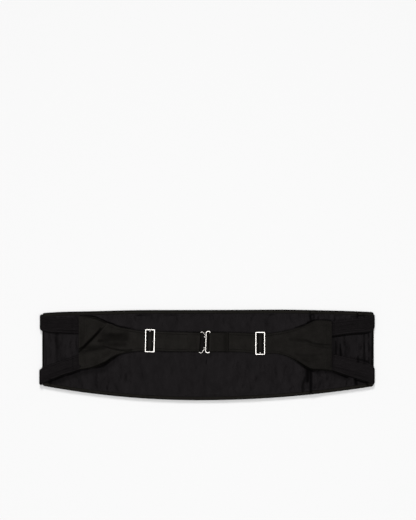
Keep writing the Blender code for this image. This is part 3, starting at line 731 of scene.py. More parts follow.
# painted shadow: the black wedge under the left wing's lower taper, and the dark line under the
# right one's and its band's
taperShadow = (
    (-142, -16.6, -132.6, -13.8, 0.9, 2.7, 0.76),
    (-132.6, -13.8, -124.9, -7.3, 2.9, 2.2, 0.78),
    (-124.9, -7.3, -112, 1.2, 2.2, 0.6, 0.62),
    (-199.8, -32, -200.6, -37.6, 2.1, 2.2, 0.78),
    (114, -8.6, 124.6, -15.2, 0.5, 1.3, 0.40),
    (124.6, -15.2, 134, -20, 1.5, 1.6, 0.66),
)
# painted half-shadow on the strip of lining below them
shadeBelow = (
    (-204, -37, -184, -30.4, 3.4, 5, 0.52),
    (-184, -30.4, -164, -22, 5, 5, 0.40),
    (-164, -21.6, -142, -19, 4.4, 4.4, 0.34),
    (-142, -19, -131, -17, 4.4, 5, 0.42),
    (-131, -17, -122, -9.4, 5, 4.4, 0.38),
    (-122, -9.4, -108, 1, 4, 2, 0.20),
    (138, -21.6, 158.4, -21.8, 2.2, 2.2, 0.36),
    (158.4, -21.8, 167, -25, 3.6, 4.4, 0.40),
    (167, -25, 181, -29.6, 4.4, 4, 0.44),
    (170, -25.6, 179, -28.6, 1.6, 1.9, 0.66),
    (189.4, -31.6, 190.4, -36.4, 2.4, 2.9, 0.80),
    (191.7, -31.6, 199.4, -34.2, 1.6, 1.6, 0.50),
    (204, -35, 205.2, -38.8, 2.2, 2.3, 0.78),
)
# painted shade on the lining
liningShade = (
    # short ones round the right wing's shoulder
    (143, 45.6, 160, 45.4, 0.8, 1, 0.16),
    (124, 39.4, 133, 44.6, 0.7, 1.6, 0.42),
    # between the two right bands
    (161, 26, 162, 0, 2.6, 3.6, 0.48),
    (165.4, 20, 165.8, 0, 6, 6, 0.26),
    (164.3, 18, 164.5, 1.2, 1.1, 1.5, 0.76),
    (169.3, 15, 169.9, 9, 0.9, 1.4, 0.50),
    (169.9, 9, 170.8, 0.6, 1.4, 2.5, 0.74),
    (185, 26, 185, -6, 16, 15, 0.15),
    (179, 26, 179, 8, 1.4, 1.2, 0.12),
    (192.6, -1.6, 192.8, -8, 0.9, 2.2, 0.72),
    (183, -1.4, 183.4, -5, 0.8, 1.6, 0.40),
    (200.4, 30, 200.4, 6, 1.2, 1.4, 0.50),
    (200.4, 6, 200.8, -9.6, 1.5, 2.2, 0.66),
    # painted shadow under the clasp
    (-4, 27.5, -5, 7, 4.2, 4.2, 0.42),
    (1.3, 28.5, 2.2, 5.5, 1.4, 1.4, 0.85),
    # between the two left bands
    (-191.6, 28.2, -191.4, -7, 2.6, 3.2, 0.32),
    (-191.6, 28.6, -191.4, 25.6, 2.6, 2, 0.45),
    (-185.8, 27, -185.6, -5, 2, 2.4, 0.14),
    (-166.4, 24, -166.4, 0, 2.2, 2.6, 0.20),
)

# where those edges press the lining down: edge table, which edge, how far beyond it, width, depth
# along x
pressedLines = (
    (leftEdges, "top", 0.1, 1, (
        (-164, 0), (-162, 0.6), (-130, 0.6), (-108, 0.45), (-96, 0.2), (-8, 0.15),
    )),
    (leftEdges, "bottom", 0, 1.2, (
        (-166, 0), (-164, 0.5), (-140, 0.4), (-118, 0.5), (-104, 0.4), (-94, 0.3), (-8, 0.2),
    )),
    (rightEdges, "top", 0.1, 1, (
        (0, 0.2), (98, 0.15), (108, 0.2), (118, 0.35), (132, 0.5), (142, 0.3), (158, 0.3),
        (160, 0),
    )),
    (rightEdges, "bottom", 0, 1.3, (
        (0, 0.2), (96, 0.15), (108, 0.25), (122, 0.6), (134, 0.8), (139, 0.3), (159, 0.3),
        (161, 0),
    )),
    (bandEdges["band_left_upper"], "bottom", 0.1, 1, (
        (-209, 0.1), (-200, 0.2), (-192, 0.4), (-187, 0.2), (-163, 0.15),
    )),
    (bandEdges["band_left_lower"], "top", 0.1, 0.9, ((-209, 0.1), (-163, 0.15))),
    (bandEdges["band_left_lower"], "bottom", 0, 1.5, (
        (-205, 0), (-201, 1), (-196, 0.9), (-163, 0.8),
    )),
    (bandEdges["band_right_upper"], "bottom", 0.1, 1, (
        (158, 0.7), (186, 0.6), (206, 0.6), (210, 0.3),
    )),
    (bandEdges["band_right_upper"], "top", 0.1, 0.9, ((158, 0.5), (200, 0.1))),
    (bandEdges["band_right_lower"], "top", 0.2, 1, (
        (158, 0.2), (186, 0.3), (196, 0.6), (208, 1),
    )),
    (bandEdges["band_right_lower"], "bottom", 0, 1.4, (
        (158, 0.4), (166, 0.8), (179, 1), (182, 0.1), (187, 0.1), (189, 1), (199, 0.7),
        (202, 0.2), (204, 1), (209, 0.6),
    )),
)


def pressedDown(x, y):
    # a bell beside each edge; the distance is square to the edge, outward positive
    total = 0.0
    for edges, name, offset, width, depths in pressedLines:
        line, ahead = between(edges, x, name), between(edges, x + 0.5, name)
        away = (y - line) / np.sqrt(1 + (2 * (ahead - line)) ** 2) * (1 if name == "top" else -1)
        depth = np.interp(x, *np.array(depths).T, left=0.0, right=0.0)
        total = np.maximum(total, depth * bell(away - offset, width))
    return total


def liningLow(x):
    return panelBottom(x) + lining["inset"]


def liningHigh(x):
    return panelTop(x) - lining["inset"]


def fromLiningEdge(x, y):
    # distance in from the lining's nearest edge
    sides = np.minimum(x - lining["left"], lining["right"] - x)
    return np.minimum(np.minimum(y - liningLow(x), liningHigh(x) - y), sides)


def liningTop(x, y):
    # level + tucked edges + folds + slow puckers that run up and down, all fading towards the
    # slip-stitched edge
    s = lining
    edge = fromLiningEdge(x, y)
    puckers = 0.26 * cloudy(x, y, 6.0, 10.0, 15) + 0.15 * cloudy(x, y, 3.1, 5.0, 16)
    puckers = puckers + 0.25 * cloudy(x, y, 14.0, 16.0, 13)
    # little gathers where the slip stitches hold it
    waver = 2.0 * cloudy(x, y * 0, 30.0, 30.0, 14)
    gathers = 0.10 * np.sin(x * 2 * math.pi / s["stitchStep"] + waver)
    gathers = gathers * rise(0.2, 1.5, edge) * (1 - rise(3.0, 9.0, edge))
    # its folded edge lies on the border, and just inside that it drops to its own level
    hem = (s["hem"] - s["level"]) * (1 - rise(0.9, 2.4, edge))
    placed = folds(x, y, liningFolds) - pressedDown(x, y)
    placed, puckers = placed * rise(0.0, 3.0, edge), puckers * rise(0.0, 4.5, edge)
    return s["level"] + hem + placed + puckers + gathers


def makeLining(s):
    x = spaced(s["left"], s["right"], s["stations"], s["busy"])
    # places stand closer together along the edges of the strips
    near = [(edges, "bottom") for edges in (leftEdges, rightEdges, *bandEdges.values())]
    near += [(leftEdges, "top"), (rightEdges, "top")]
    lines = np.stack([
        np.where((x - edges[0][0]) * (x - edges[-1][0]) <= 0, between(edges, x, name), np.nan)
        for edges, name in near], axis=1)
    reach = edgeSteps[-1]
    y = []
    for low, high, line in zip(liningLow(x), liningHigh(x), lines):
        spots = [(at, 3.0, 3.0) for at in line[~np.isnan(line)]]
        inner = spaced(low + reach, high - reach, s["across"], spots)[1:-1]
        y.append([*(low + edgeSteps), *inner, *(high - edgeSteps[::-1])])
    y = np.array(y)
    x = np.repeat(x[:, None], y.shape[1], axis=1)
    edge = fromLiningEdge(x, y)
    under = s["under"] + (s["onBorder"] - s["under"]) * (1 - rise(0.75, 0.95, edge))
    z = np.maximum(liningTop(x, y), under + s["least"])
    z = under + (z - under) * quarterRound(edge / 0.3, 0.02)
    upper = np.stack([x, y, z], axis=-1)
    lower = np.stack([x, y, under], axis=-1)
    # painted shade in the lining's creases, under the strips' edges and the clasp, and beside the
    # strips where they press it down
    paintedShade = shadeLines(x, y, ruckShade + taperShadow + shadeBelow + liningShade)
    paintedShade = np.maximum(paintedShade, 0.45 * np.minimum(pressedDown(x, y), 1.0))
    piece = clothShell("liningCloth", upper, lower, x, y, liningSatin, paintedShade)
    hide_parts("lining")


makeLining(lining)
print("lining ready")


# strips of cloth along an (x, z) path: bands, wings and straps

def filleted(corners, radii, steps=6):
    # a line through (x, z) corners, each rounded by an arc of its own radius
    corners = np.asarray(corners, float)
    points = [corners[0]]
    for before, corner, after, radius in zip(corners, corners[1:], corners[2:], radii):
        incoming = (before - corner) / np.linalg.norm(before - corner)
        outgoing = (after - corner) / np.linalg.norm(after - corner)
        half = math.acos(float(np.clip(incoming @ outgoing, -1, 1))) / 2
        inward = (incoming + outgoing) / np.linalg.norm(incoming + outgoing)
        middle = corner + inward * radius / math.sin(half)
        first = corner + incoming * radius / math.tan(half) - middle
        last = corner + outgoing * radius / math.tan(half) - middle
        share = np.linspace(0.0, 1.0, steps + 1)[:, None]
        spokes = first * (1 - share) + last * share
        points.extend(middle + spokes / np.linalg.norm(spokes, axis=1)[:, None] * radius)
    points.append(corners[-1])
    return np.array(points)


def lengthsAlong(path):
    return np.append(0.0, np.cumsum(np.linalg.norm(np.diff(path, axis=0), axis=1)))


def readAt(at, along, values):
    # each column of values, known at the lengths along, read at other lengths
    return np.column_stack([np.interp(at, along, column) for column in values.T])


def evenly(path, spacing):
    # the same line with points no further apart than the spacing
    path = path[np.append(True, np.diff(lengthsAlong(path)) > 0.02)]
    along = lengthsAlong(path)
    extra = [np.linspace(a, b, max(1, math.ceil((b - a) / spacing)), endpoint=False)
             for a, b in zip(along, along[1:])]
    return readAt(np.append(np.concatenate(extra), along[-1]), along, path)


def stripSurface(path, edges, lean, thickness, count, relief, rounding=0.6):
    # (station, place, xyz) of the upper and lower side: the path's point, plus the half thickness
    # along its normal, which rounds off to nothing at the two edges, plus the relief straight up
    # where the strip lies flat
    low, high = between(edges, path[:, 0], "bottom"), between(edges, path[:, 0], "top")
    along = np.gradient(path, axis=0)
    along /= np.linalg.norm(along, axis=1)[:, None]
    normal = np.column_stack([-along[:, 1], along[:, 0]])
    if normal[len(normal) // 3, 1] < 0:
        normal = -normal
    y = places(low, high, count)
    x = path[:, :1] + lean[:, None] * (y - (low + high)[:, None] / 2)
    half = np.reshape(thickness, (-1, 1)) / 2 * edgeRound(y, low, high, rounding)
    flat = rise(0.985, 0.999, normal[:, 1:])
    lift, dent = relief(x, y, low[:, None], high[:, None])
    lift, dent = lift * flat, dent * flat
    outX, outZ = normal[:, :1] * half, normal[:, 1:] * half
    upper = np.stack([x + outX, y, path[:, 1:] + outZ + lift + dent], axis=-1)
    lower = np.stack([x - outX, y, path[:, 1:] - outZ + lift], axis=-1)
    return upper, lower, lengthsAlong(path)[:, None] + 0 * y, y


surfaces = {}

band = {
    "thickness": 1.1, "startLevel": 2.2, "level": 4.65, "ribPitch": 1.05, "ribHeight": 0.11,
    "selvedge": 2.6, "grooveDepth": 0.22, "cornerRadius": 2.4, "count": 92,
    # dips where the seam is tacked: distance past the seam, width, depth on the left and the right
    "tacks": ((3.0, 1.3, 0.42, 0.12), (9.4, 1.0, 0.40, 0.10), (1.7, 1.1, 0.0, 0.60)),
    # width and length of each as cut, in metres
    "cut": {"band_left_upper": (0.020, 0.060), "band_left_lower": (0.021, 0.061),
            "band_right_upper": (0.020, 0.061), "band_right_lower": (0.022, 0.064)},
}


# painted shade on the bands
bandShade = (
    (-173.1, 46.5, -173.1, 28.5, 1, 1, 0.14),
    (-166.8, -18, -166.8, 0, 1.6, 1.6, 0.08),
    (-199.8, -32, -200.6, -37.6, 2.1, 2.2, 0.78),
    (204, -34.6, 205.2, -38.2, 1.8, 1.8, 0.66),
    (189.6, -31, 190.8, -36, 1.5, 2.2, 0.66),
    (192.6, -2, 192.8, -8, 0.9, 2.1, 0.70),
    (200.6, -4, 200.8, -10.4, 1.2, 1.8, 0.50),
    (161, 46, 161, 24, 1, 1, 0.10),
    (160.6, 2, 160.8, -21, 1.1, 1.1, 0.10),
    (210, 54, 214.2, 51.6, 1.2, 1.2, 0.5),
)


def bandRelief(x, y, low, high):
    # ribs along the band: |sin| across it, a shallow groove inside each selvedge, and a dip at
    # the seam's tacks; the lower edge stands off the lining halfway along
    s = band
    d = np.minimum(y - low, high - y)
    ribs = np.abs(np.sin(math.pi * (y - low) / s["ribPitch"])) - 0.6
    ribs = s["ribHeight"] * ribs * rise(0.3, 1.0, d)
    groove = -s["grooveDepth"] * bell(d - s["selvedge"], 0.5)
    seam = np.where(x < 0, x - seamLeft, seamRight - x)
    tack = sum(-np.where(x < 0, left, right) * bell(seam + past, width)
               for past, width, left, right in s["tacks"])
    broad = np.where(low > 0, 0.16, 0.05) * np.cos(2 * math.pi * (high - y - 4.5) / 3.6)
    broad = broad * rise(1.0, 4.0, d)
    slack = 0.16 * cloudy(x, y, 12.0, 7.0, 21)
    loose = np.where(low < 0, curled(y - low, 1.7, 2.2), curled(y - low, 0.7, 1.5))
    loose = loose * np.exp(-(((seam + 22.0) / 24.0) ** 4))
    return 0.05 + loose, ribs + groove + tack + slack - broad


def makeBands(s):
    turn = (s["level"] - s["startLevel"]) / 2
    angle = np.radians(np.linspace(-90.0, 90.0, 17))
    for name, edges in bandEdges.items():
        outward = math.copysign(1.0, edges[0][0])
        panelEnd = panel["left"] if outward < 0 else panel["right"]
        fold = edges[0][0] - outward * (s["thickness"] / 2 + turn)
        arc = np.column_stack([fold + outward * turn * np.cos(angle),
                               s["startLevel"] + turn * (1 + np.sin(angle))])
        start, end = (panelEnd - outward * 0.8, s["startLevel"]), (edges[-1][0], s["level"])
        path = evenly(np.vstack([[start], arc, [end]]), 0.9)
        lean = np.zeros(len(path))
        surface = stripSurface(path, edges, lean, s["thickness"], s["count"], bandRelief, 0.4)
        for side in surface[:2]:
            # the fold's two corners are drawn in, as on an arc of that radius
            x, y = side[..., 0], side[..., 1]
            fromEdge = np.minimum(y - y[:, :1], y[:, -1:] - y)
            outside = np.clip((outward * (x - panelEnd)) / abs(edges[0][0] - panelEnd), 0.0, 1.0)
            corner = 1 - quarterRound(fromEdge / s["cornerRadius"])
            side[..., 0] -= outward * outside * s["cornerRadius"] * corner
        # painted shade, only where the band lies at its own level
        paintedShade = shadeLines(surface[0][..., 0], surface[0][..., 1], bandShade)
        paintedShade = paintedShade * rise(3.6, 4.4, path[:, 1:])
        piece = clothShell(name.replace("band", "elastic"), *surface, elasticWeave, paintedShade)
        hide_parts(name)


makeBands(band)
print("elastic bands ready")


clasp = {
    "eyeWire": 1.0, "eyeX": 0.95, "eyeY": 16.9, "eyeLevel": 6.75, "eyeTilt": -2.0,
    "eyeHalfWidth": 2.7, "eyeHalfHeight": 13.6, "eyeCorner": 2.3,
    "hookWire": 0.65, "hookY": 16.6, "hookTilt": -3.1, "hookBarX": -10.4, "hookBarLevel": 6.3,
    "hookBarHalf": 10.9, "hookStraight": 5.4, "upperCurl": 2.1, "lowerCurl": 2.6, "hookDive": 0.006,
    "hookEntry": 8.6, "hookProng": 6.9, "prongEntry": -125.0, "prongExit": 100.0,
    "tipReach": 3.1, "tipLift": 1.85,
}
slide = {
    "width": 12.8, "height": 29.7, "bar": 2.1, "thickness": 1.5, "level": 6.35,
    "places": {"slide_left": (-73.25, 18.5, -1.4), "slide_right": (67.62, 15.2, 0.0)},
}
wing = {
    "thickness": 1.2, "level": 4.7, "upperLevel": 6.2, "overBar": 8.0, "seam": 0.3,
    "leanReach": 16.0, "slant": 0.35, "rampShare": 0.58, "crisp": 0.06, "count": 112, "spacing": 0.8,
    # x where the left strap starts up, lies on its turned end, goes on up and reaches the hook's
    # bar, and x of that end
    "leftRise": (-54.0, -34.6, -26.0, -13.0), "leftEnd": -33.0,
    # x where the right strap leaves its level for the eye's, and x where it reaches that
    "rightDip": (12.0, 7.0),
    # x where the end sewn down on it starts to thin out, and x of that end
    "sewnEnd": (20.0, 27.4),
}
leftFolds = (
    # the deep diagonal fold from the end seam, steep on its lower side
    (-184, -13, -122, 49, -0.5, 20, 2, 1.9),
    # the broad shallow one below it, and the fold that runs on into the strap
    (-176, 1, -130, 13, 0.6, 4, 3, -0.6),
    (-168, -5, -128, 2, 1.5, 6, 6, 0.6),
    (-141, 15.4, -90, 5.2, -1.8, 6, 1.8, 0.7),
)
# painted shade on the left wing
leftWingShade = (
    (-163.4, 8.2, -157.4, 11.2, 1.1, 1.7, 0.80),
    (-157.4, 11.2, -147.6, 20.8, 1.8, 2.2, 0.86),
    (-147.6, 20.8, -139.2, 29.8, 2.2, 1.7, 0.84),
    (-139.2, 29.8, -136.2, 34.6, 1.7, 1.3, 0.74),
    # painted half-shade on the ground below its foot, and a shaded line along it
    (-152, 8.6, -132, 9.8, 3.6, 3.2, 0.50),
    (-163.2, 4.2, -150, 6.6, 1.1, 1.5, 0.42),
    (-132.8, 12, -122.2, 8.8, 1.2, 1.4, 0.58),
    (-122.2, 8.8, -113.2, 6.9, 1.4, 1.4, 0.50),
    (-113.2, 6.9, -97, 6.7, 1.3, 1, 0.42),
    (-98.8, 6.8, -97.2, 6.6, 1.7, 1.7, 0.56),
    # painted shade in the hollow ahead of the strap
    (-138.4, 18.4, -126, 19.4, 2.2, 3.2, 0.54),
    (-129, 22.6, -105.4, 22.8, 6.8, 6.2, 0.48),
    (-124, 25.8, -110, 25, 3.8, 3.8, 0.60),
    (-131, 15, -106, 14.4, 3.6, 3.4, 0.42),
)
rightFolds = (
    (97, 23, 139, 17.4, 0, 5, 3.6, -0.4),
    (114, 20.4, 182, 11.2, -3.6, 12, 2.4, 0.6),
    (104, 2.6, 152, 4.4, -5, 5, 5, -0.3),
    (108, 32, 166, 35.4, 1.5, 7, 6, 0.6),
    (108, -10, 178, -8, 0, 10, 9, 1.3),
)
# painted shade on the right wing
rightWingShade = (
    (106, 20, 116.2, 19.4, 3, 3, 0.34),
    (116.2, 19.4, 126.4, 18.9, 3, 2.4, 0.48),
    (126.4, 18.9, 135.6, 15, 1.8, 1.7, 0.55),
    (135.6, 15, 147, 13.6, 1.7, 1.8, 0.58),
    (147, 13.6, 159, 13.4, 1.6, 1.3, 0.50),
    (113, 1.4, 125.1, -0.8, 2, 3, 0.36),
    (125.1, -0.8, 136, -0.2, 3, 2.6, 0.37),
    (136, -0.2, 146, 1.4, 2.6, 2, 0.33),
    (152, -8, 157, -14, 3, 3, 0.10),
)


def wingRelief(side):
    # side is -1 for the left wing: a broad slack belly, the placed folds, a raised lower taper,
    # and the band's ends showing as swellings under the end seam
    if side < 0:
        rows, seam, belly, liftAt, curl = leftFolds, seamLeft, (-140.0, 14.0), -131.0, (2.4, 3.6)
    else:
        rows, seam, belly, liftAt, curl = rightFolds, seamRight, (136.0, 12.0), 127.0, (1.5, 2.6)

    def relief(x, y, low, high):
        away = np.minimum(y - low, high - y)
        wide = rise(27.0, 40.0, high - low)
        puff = 0.9 * mound(x, y, belly, (22.0, 20.0)) * rise(0.0, 9.0, away)
        roll = bell(x - liftAt, 14.0) * wide
        lift = roll * curled(y - low, *curl) + (1 - roll) * curled(y - low, 0.5, 1.2) * wide
        if side > 0:
            # its corner rests on the lining's ruck
            lift = lift + 1.0 * mound(x, y - low, (138.0, 0.0), (14.0, 12.0))
        else:
            # the upper half stands higher before the strap, and slopes down through a shaded hollow
            terrace = rise(-141.0, -126.0, x) * (1 - rise(-110.0, -97.0, x))
            slope = np.clip((y - 14.5) / 14.0, 0.0, 1.0)
            shape = 0.7 * slope + 0.3 * rise(0.0, 1.0, slope) - 0.45 * rise(28.5, 41.0, y)
            puff = puff + 1.8 * terrace * shape
        placed = folds(x, y, rows) * rise(0.0, 3.0, away)
        fromSeam = np.abs(x - seam)
        lift = (lift + puff + np.maximum(placed, 0.0)) * rise(0.0, 24.0, fromSeam + 14.0)
        slack = 0.10 * cloudy(x, y, 11.0, 9.0, 31) + 0.05 * cloudy(x, y, 4.0, 4.0, 32)
        hem = 0.16 * (1 - rise(2.6, 3.4, away)) - 0.10 * bell(away - 3.2, 0.5)
        endHem = 0.30 * (1 - rise(7.6, 8.6, fromSeam)) - 0.12 * bell(fromSeam - 8.2, 0.6)
        dent = np.minimum(placed, 0.0) + slack + hem * rise(14.0, 30.0, fromSeam) + endHem
        return lift, dent

    return relief


def slideHump(x):
    # up through one window, over the middle bar and down through the other
    ramp = slide["bar"] / 2 + wing["rampShare"] * (slide["width"] / 2 - 1.5 * slide["bar"])
    foot, crown = ramp + wing["slant"], ramp - wing["slant"]
    low, high = wing["level"], wing["overBar"]
    return [(x - foot, low), (x - crown, high), (x + crown, high), (x + foot, low)]


def loopRound(x, level, radius, outward, rising):
    # a half circle drawn out squarer: x by cos^0.6, z by sin
    angle = np.radians(np.linspace(-90.0, 90.0, 25)) * (1 if rising else -1)
    reach = radius * np.maximum(np.cos(angle), 0.0) ** 0.6
    return np.column_stack([x + outward * reach, level + radius * np.sin(angle)])


def leanNear(path, spots):
    lean = np.zeros(len(path))
    for x, tilt in spots:
        near = rise(0.0, 1.0, (wing["leanReach"] - np.abs(path[:, 0] - x)) / (wing["leanReach"] / 2))
        lean -= math.tan(math.radians(tilt)) * near
    return lean


def wingPath(out, rest, inward):
    # from the seam, with one short step so that its end stays crisp, out and round the clasp
    step = out[:1] + [inward * wing["crisp"], 0.0]
    return evenly(np.vstack([out[:1], step, out[1:-1], *rest]), wing["spacing"])


def makeLeftWing(w):
    x, _, tilt = slide["places"]["slide_left"]
    barX, level = clasp["hookBarX"], clasp["hookBarLevel"]
    radius = clasp["hookWire"] + w["seam"] + w["thickness"] / 2
    start, foot, crest, top = w["leftRise"]
    corners = [
        (leftEdges[0][0], w["level"]), *slideHump(x), (start, w["level"]),
        (foot, w["upperLevel"]), (crest, w["upperLevel"]), (top, level + radius),
        (barX, level + radius),
    ]
    out = filleted(corners, [1.0] * 4 + [4.0] * 4)
    end = [(w["leftEnd"], w["level"])]
    path = wingPath(out, [loopRound(barX, level, radius, 1.0, False), end], 1)
    lean = leanNear(path, ((x, tilt), (barX, clasp["hookTilt"])))
    surface = stripSurface(path, leftEdges, lean, w["thickness"], w["count"], wingRelief(-1))
    # painted shade in the wing's creases and along its lower taper
    paintedShade = shadeLines(surface[0][..., 0], surface[0][..., 1], leftWingShade + taperShadow)
    piece = clothShell("wingClothLeft", *surface, wingTwill, paintedShade)
    surfaces["wing_left"] = surface
    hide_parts("wing_left")


def makeRightWing(w):
    x, _, tilt = slide["places"]["slide_right"]
    barX, level = clasp["eyeX"] + clasp["eyeHalfWidth"], clasp["eyeLevel"]
    radius = clasp["eyeWire"] + w["seam"] + w["thickness"] / 2
    start, top = w["rightDip"]
    corners = [
        (rightEdges[0][0], w["level"]), *slideHump(x)[::-1], (start, w["level"]),
        (top, level - radius), (barX, level - radius),
    ]
    out = filleted(corners, [1.0] * 4 + [6.0] * 2)
    # its sewn end thins out as it comes down onto the strap
    endStart, endX = w["sewnEnd"]
    back = filleted([
        (barX, level + radius), (4.6, level + radius), (endStart, w["upperLevel"] + 0.3),
        (endX, w["level"] + 0.7),
    ], [4.0, 16.0])
    path = wingPath(out, [loopRound(barX, level, radius, -1.0, True), back[1:]], -1)
    returned = np.cumsum(np.append(0.0, np.abs(np.diff(path[:, 0])))) > rightEdges[0][0] - barX
    thinned = np.where(returned, 1 - 0.85 * rise(endStart, endX, path[:, 0]), 1.0)
    lean = leanNear(path, ((x, tilt), (barX, clasp["eyeTilt"])))
    thickness = w["thickness"] * thinned
    surface = stripSurface(path, rightEdges, lean, thickness, w["count"], wingRelief(1))
    # painted shade: the whole wing a little darker than the left one, a little more from x 70 to 110
    # onwards, and darker in its creases and along its lower taper
    dullAndShade = 0.10 + 0.06 * rise(70.0, 110.0, surface[0][..., 0])
    paintedShade = shadeLines(surface[0][..., 0], surface[0][..., 1], rightWingShade + taperShadow)
    piece = clothShell("wingClothRight", *surface, wingTwill, np.maximum(paintedShade, dullAndShade))
    surfaces["wing_right"] = surface
    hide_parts("wing_right")


makeLeftWing(wing)
makeRightWing(wing)
print("wings ready")


def roundedOutline(width, height, radius, steps):
    # points round a rectangle with arc corners, and the outward direction at each
    turn = [np.linspace(q * 90.0, q * 90.0 + 90.0, steps) for q in range(4)]
    turn = np.radians(np.concatenate(turn))
    corner = np.repeat([(1, 1), (-1, 1), (-1, -1), (1, -1)], steps, axis=0)
    out = np.column_stack([np.cos(turn), np.sin(turn)])
    return corner * [width / 2 - radius, height / 2 - radius] + out * radius, out


def turned(points, centre, degrees):
    # turns about Z at the origin, then moves to the centre
    a = math.radians(degrees)
    spin = np.array([
        [math.cos(a), math.sin(a), 0.0], [-math.sin(a), math.cos(a), 0.0], [0.0, 0.0, 1.0],
    ])
    return points @ spin + np.asarray(centre)


def loopQuads(stations, sides):
    # a tube whose last ring meets its first
    index = np.arange(stations * sides).reshape(stations, sides)
    index = np.concatenate([index, index[:1]])
    return gridQuads(np.concatenate([index, index[:, :1]], axis=1))


def makeSlides(s):
    # a frame bar's section is a squarish oval: |a|^3.4 + |b|^3.4 = 1, carried round the outline
    sides, power, stations = 20, 3.4, 24
    around = np.radians(np.arange(sides) * 360.0 / sides)
    oval = np.column_stack([np.cos(around), np.sin(around)])
    oval /= (np.abs(oval) ** power).sum(axis=1)[:, None] ** (1 / power)
    oval *= [s["bar"] / 2, s["thickness"] / 2]
    for name, (x, y, tilt) in s["places"].items():
        line, out = roundedOutline(s["width"] - s["bar"], s["height"] - s["bar"], 0.15, 7)
        # corners keep the outer radius: the outward reach is drawn in where the outline turns
        ring = line[:, None, :] + out[:, None, :] * oval[None, :, :1]
        up = np.broadcast_to(oval[None, :, 1:], (len(line), sides, 1))
        ring = np.concatenate([ring, up], axis=2)
        # the middle bar, its ends let into the frame
        reach = s["height"] / 2 - s["bar"] * 0.6
        bar = np.stack([
            np.broadcast_to(oval[:, 0] * 0.95, (stations, sides)),
            np.repeat(np.linspace(-reach, reach, stations)[:, None], sides, axis=1),
            np.broadcast_to(oval[:, 1] * 0.95, (stations, sides)),
        ], axis=-1)
        points = np.concatenate([ring.reshape(-1, 3), bar.reshape(-1, 3)])
        shells = [loopQuads(len(line), sides), shellQuads(stations, sides) + len(line) * sides]
        quads = [shell if facesOut(points, shell) else shell[:, ::-1] for shell in shells]
        points = turned(points, (x, y, s["level"]), tilt)
        piece = newPiece(name.replace("slide", "nickelSlide"), points, np.concatenate(quads), None,
                         brightNickel)
        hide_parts(name)


def tubeAlong(path, radius, sides):
    # a circle carried along the path without twist: each side vector is the last one less its
    # part along the path
    ahead = np.gradient(path, axis=0)
    ahead /= np.linalg.norm(ahead, axis=1)[:, None]
    side = np.zeros_like(path)
    last = np.array([0.0, 0.0, 1.0])
    for i, direction in enumerate(ahead):
        last = last - direction * (last @ direction)
        last = last / np.linalg.norm(last)
        side[i] = last
    other = np.cross(ahead, side)
    angle = np.radians(np.arange(sides) * 360.0 / sides)[:, None]
    circle = side[:, None] * np.cos(angle) + other[:, None] * np.sin(angle)
    return path[:, None] + circle * np.asarray(radius).reshape(-1, 1, 1)


def makeEye(c):
    sides = 20
    line = roundedOutline(2 * c["eyeHalfWidth"], 2 * c["eyeHalfHeight"], c["eyeCorner"], 12)[0]
    closed = np.vstack([line, line[:1]])
    along = lengthsAlong(closed)
    line = readAt(np.linspace(0.0, along[-1], 161)[:-1], along, closed)
    out = np.roll(line, -1, axis=0) - np.roll(line, 1, axis=0)
    out /= np.linalg.norm(out, axis=1)[:, None]
    out = np.column_stack([out[:, 1], -out[:, 0]])
    angle = np.radians(np.arange(sides) * 360.0 / sides)[None, :, None]
    ring = np.concatenate([
        line[:, None] + out[:, None] * c["eyeWire"] * np.cos(angle),
        np.broadcast_to(c["eyeWire"] * np.sin(angle), (len(line), sides, 1)),
    ], axis=2)
    points = turned(ring.reshape(-1, 3), (c["eyeX"], c["eyeY"], c["eyeLevel"]), c["eyeTilt"])
    piece = newPiece("nickelEye", points, loopQuads(len(line), sides), None, brightNickel)
    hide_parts("clasp_eye")


def hookRoute(c, side):
    # half of the hook: along its bar, over a curl, down a leg, round the eye's open bar and back
    # to its tip
    lean = -math.tan(math.radians(c["hookTilt"]))
    eyeLean = math.tan(math.radians(c["eyeTilt"]))
    wrap = c["eyeWire"] + c["hookWire"] + wing["seam"]

    def openBar(y):
        return c["eyeX"] - c["eyeHalfWidth"] - (y - c["eyeY"]) * eyeLean

    radius = c["upperCurl"] if side > 0 else c["lowerCurl"]
    endX = c["hookBarX"] + side * c["hookBarHalf"] * lean
    endY = c["hookY"] + side * c["hookBarHalf"]
    straight = side * c["hookStraight"]
    route = [(endX - straight * lean, endY - straight, c["hookBarLevel"])]
    endX += 2 * (c["lowerCurl"] - radius)
    turn = np.array([180.0, 150.0, 120.0, 90.0, 60.0, 38.0])
    curl = np.column_stack([
        endX + radius * (1 + np.cos(np.radians(turn))),
        endY + side * radius * np.sin(np.radians(turn)),
        c["hookBarLevel"] - c["hookDive"] * np.maximum(0.0, 100.0 - turn),
    ])
    prongY, entryY = c["hookY"] + side * c["hookProng"], c["hookY"] + side * c["hookEntry"]
    angle = np.radians(np.linspace(c["prongEntry"], c["prongExit"], 11))
    t = np.linspace(0.0, 1.0, 11)
    y = entryY * (1 - t) ** 2 + prongY * (1 - (1 - t) ** 2)
    level = c["eyeLevel"]
    prong = np.column_stack([openBar(y) + wrap * np.cos(angle), y, level + wrap * np.sin(angle)])
    tip = [(openBar(prongY) - c["tipReach"], prongY, level + c["tipLift"])]
    return np.vstack([route, curl, prong, tip])


def makeHook(c):
    route = np.vstack([hookRoute(c, 1)[::-1], hookRoute(c, -1)])
    along = lengthsAlong(route)
    at = np.linspace(0.0, along[-1], 260)
    path = np.column_stack([curveThrough(at, along, route[:, axis]) for axis in range(3)])
    # the two cut tips are rounded off over the wire's own radius
    fromTip = np.minimum(at, along[-1] - at) / c["hookWire"]
    radius = c["hookWire"] * quarterRound(np.maximum(fromTip, 0.02))
    rings = tubeAlong(path, radius, 16)
    quads = shellQuads(*rings.shape[:2])
    piece = newPiece("nickelHook", rings.reshape(-1, 3), quads, None, brightNickel)
    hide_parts("clasp_hook")


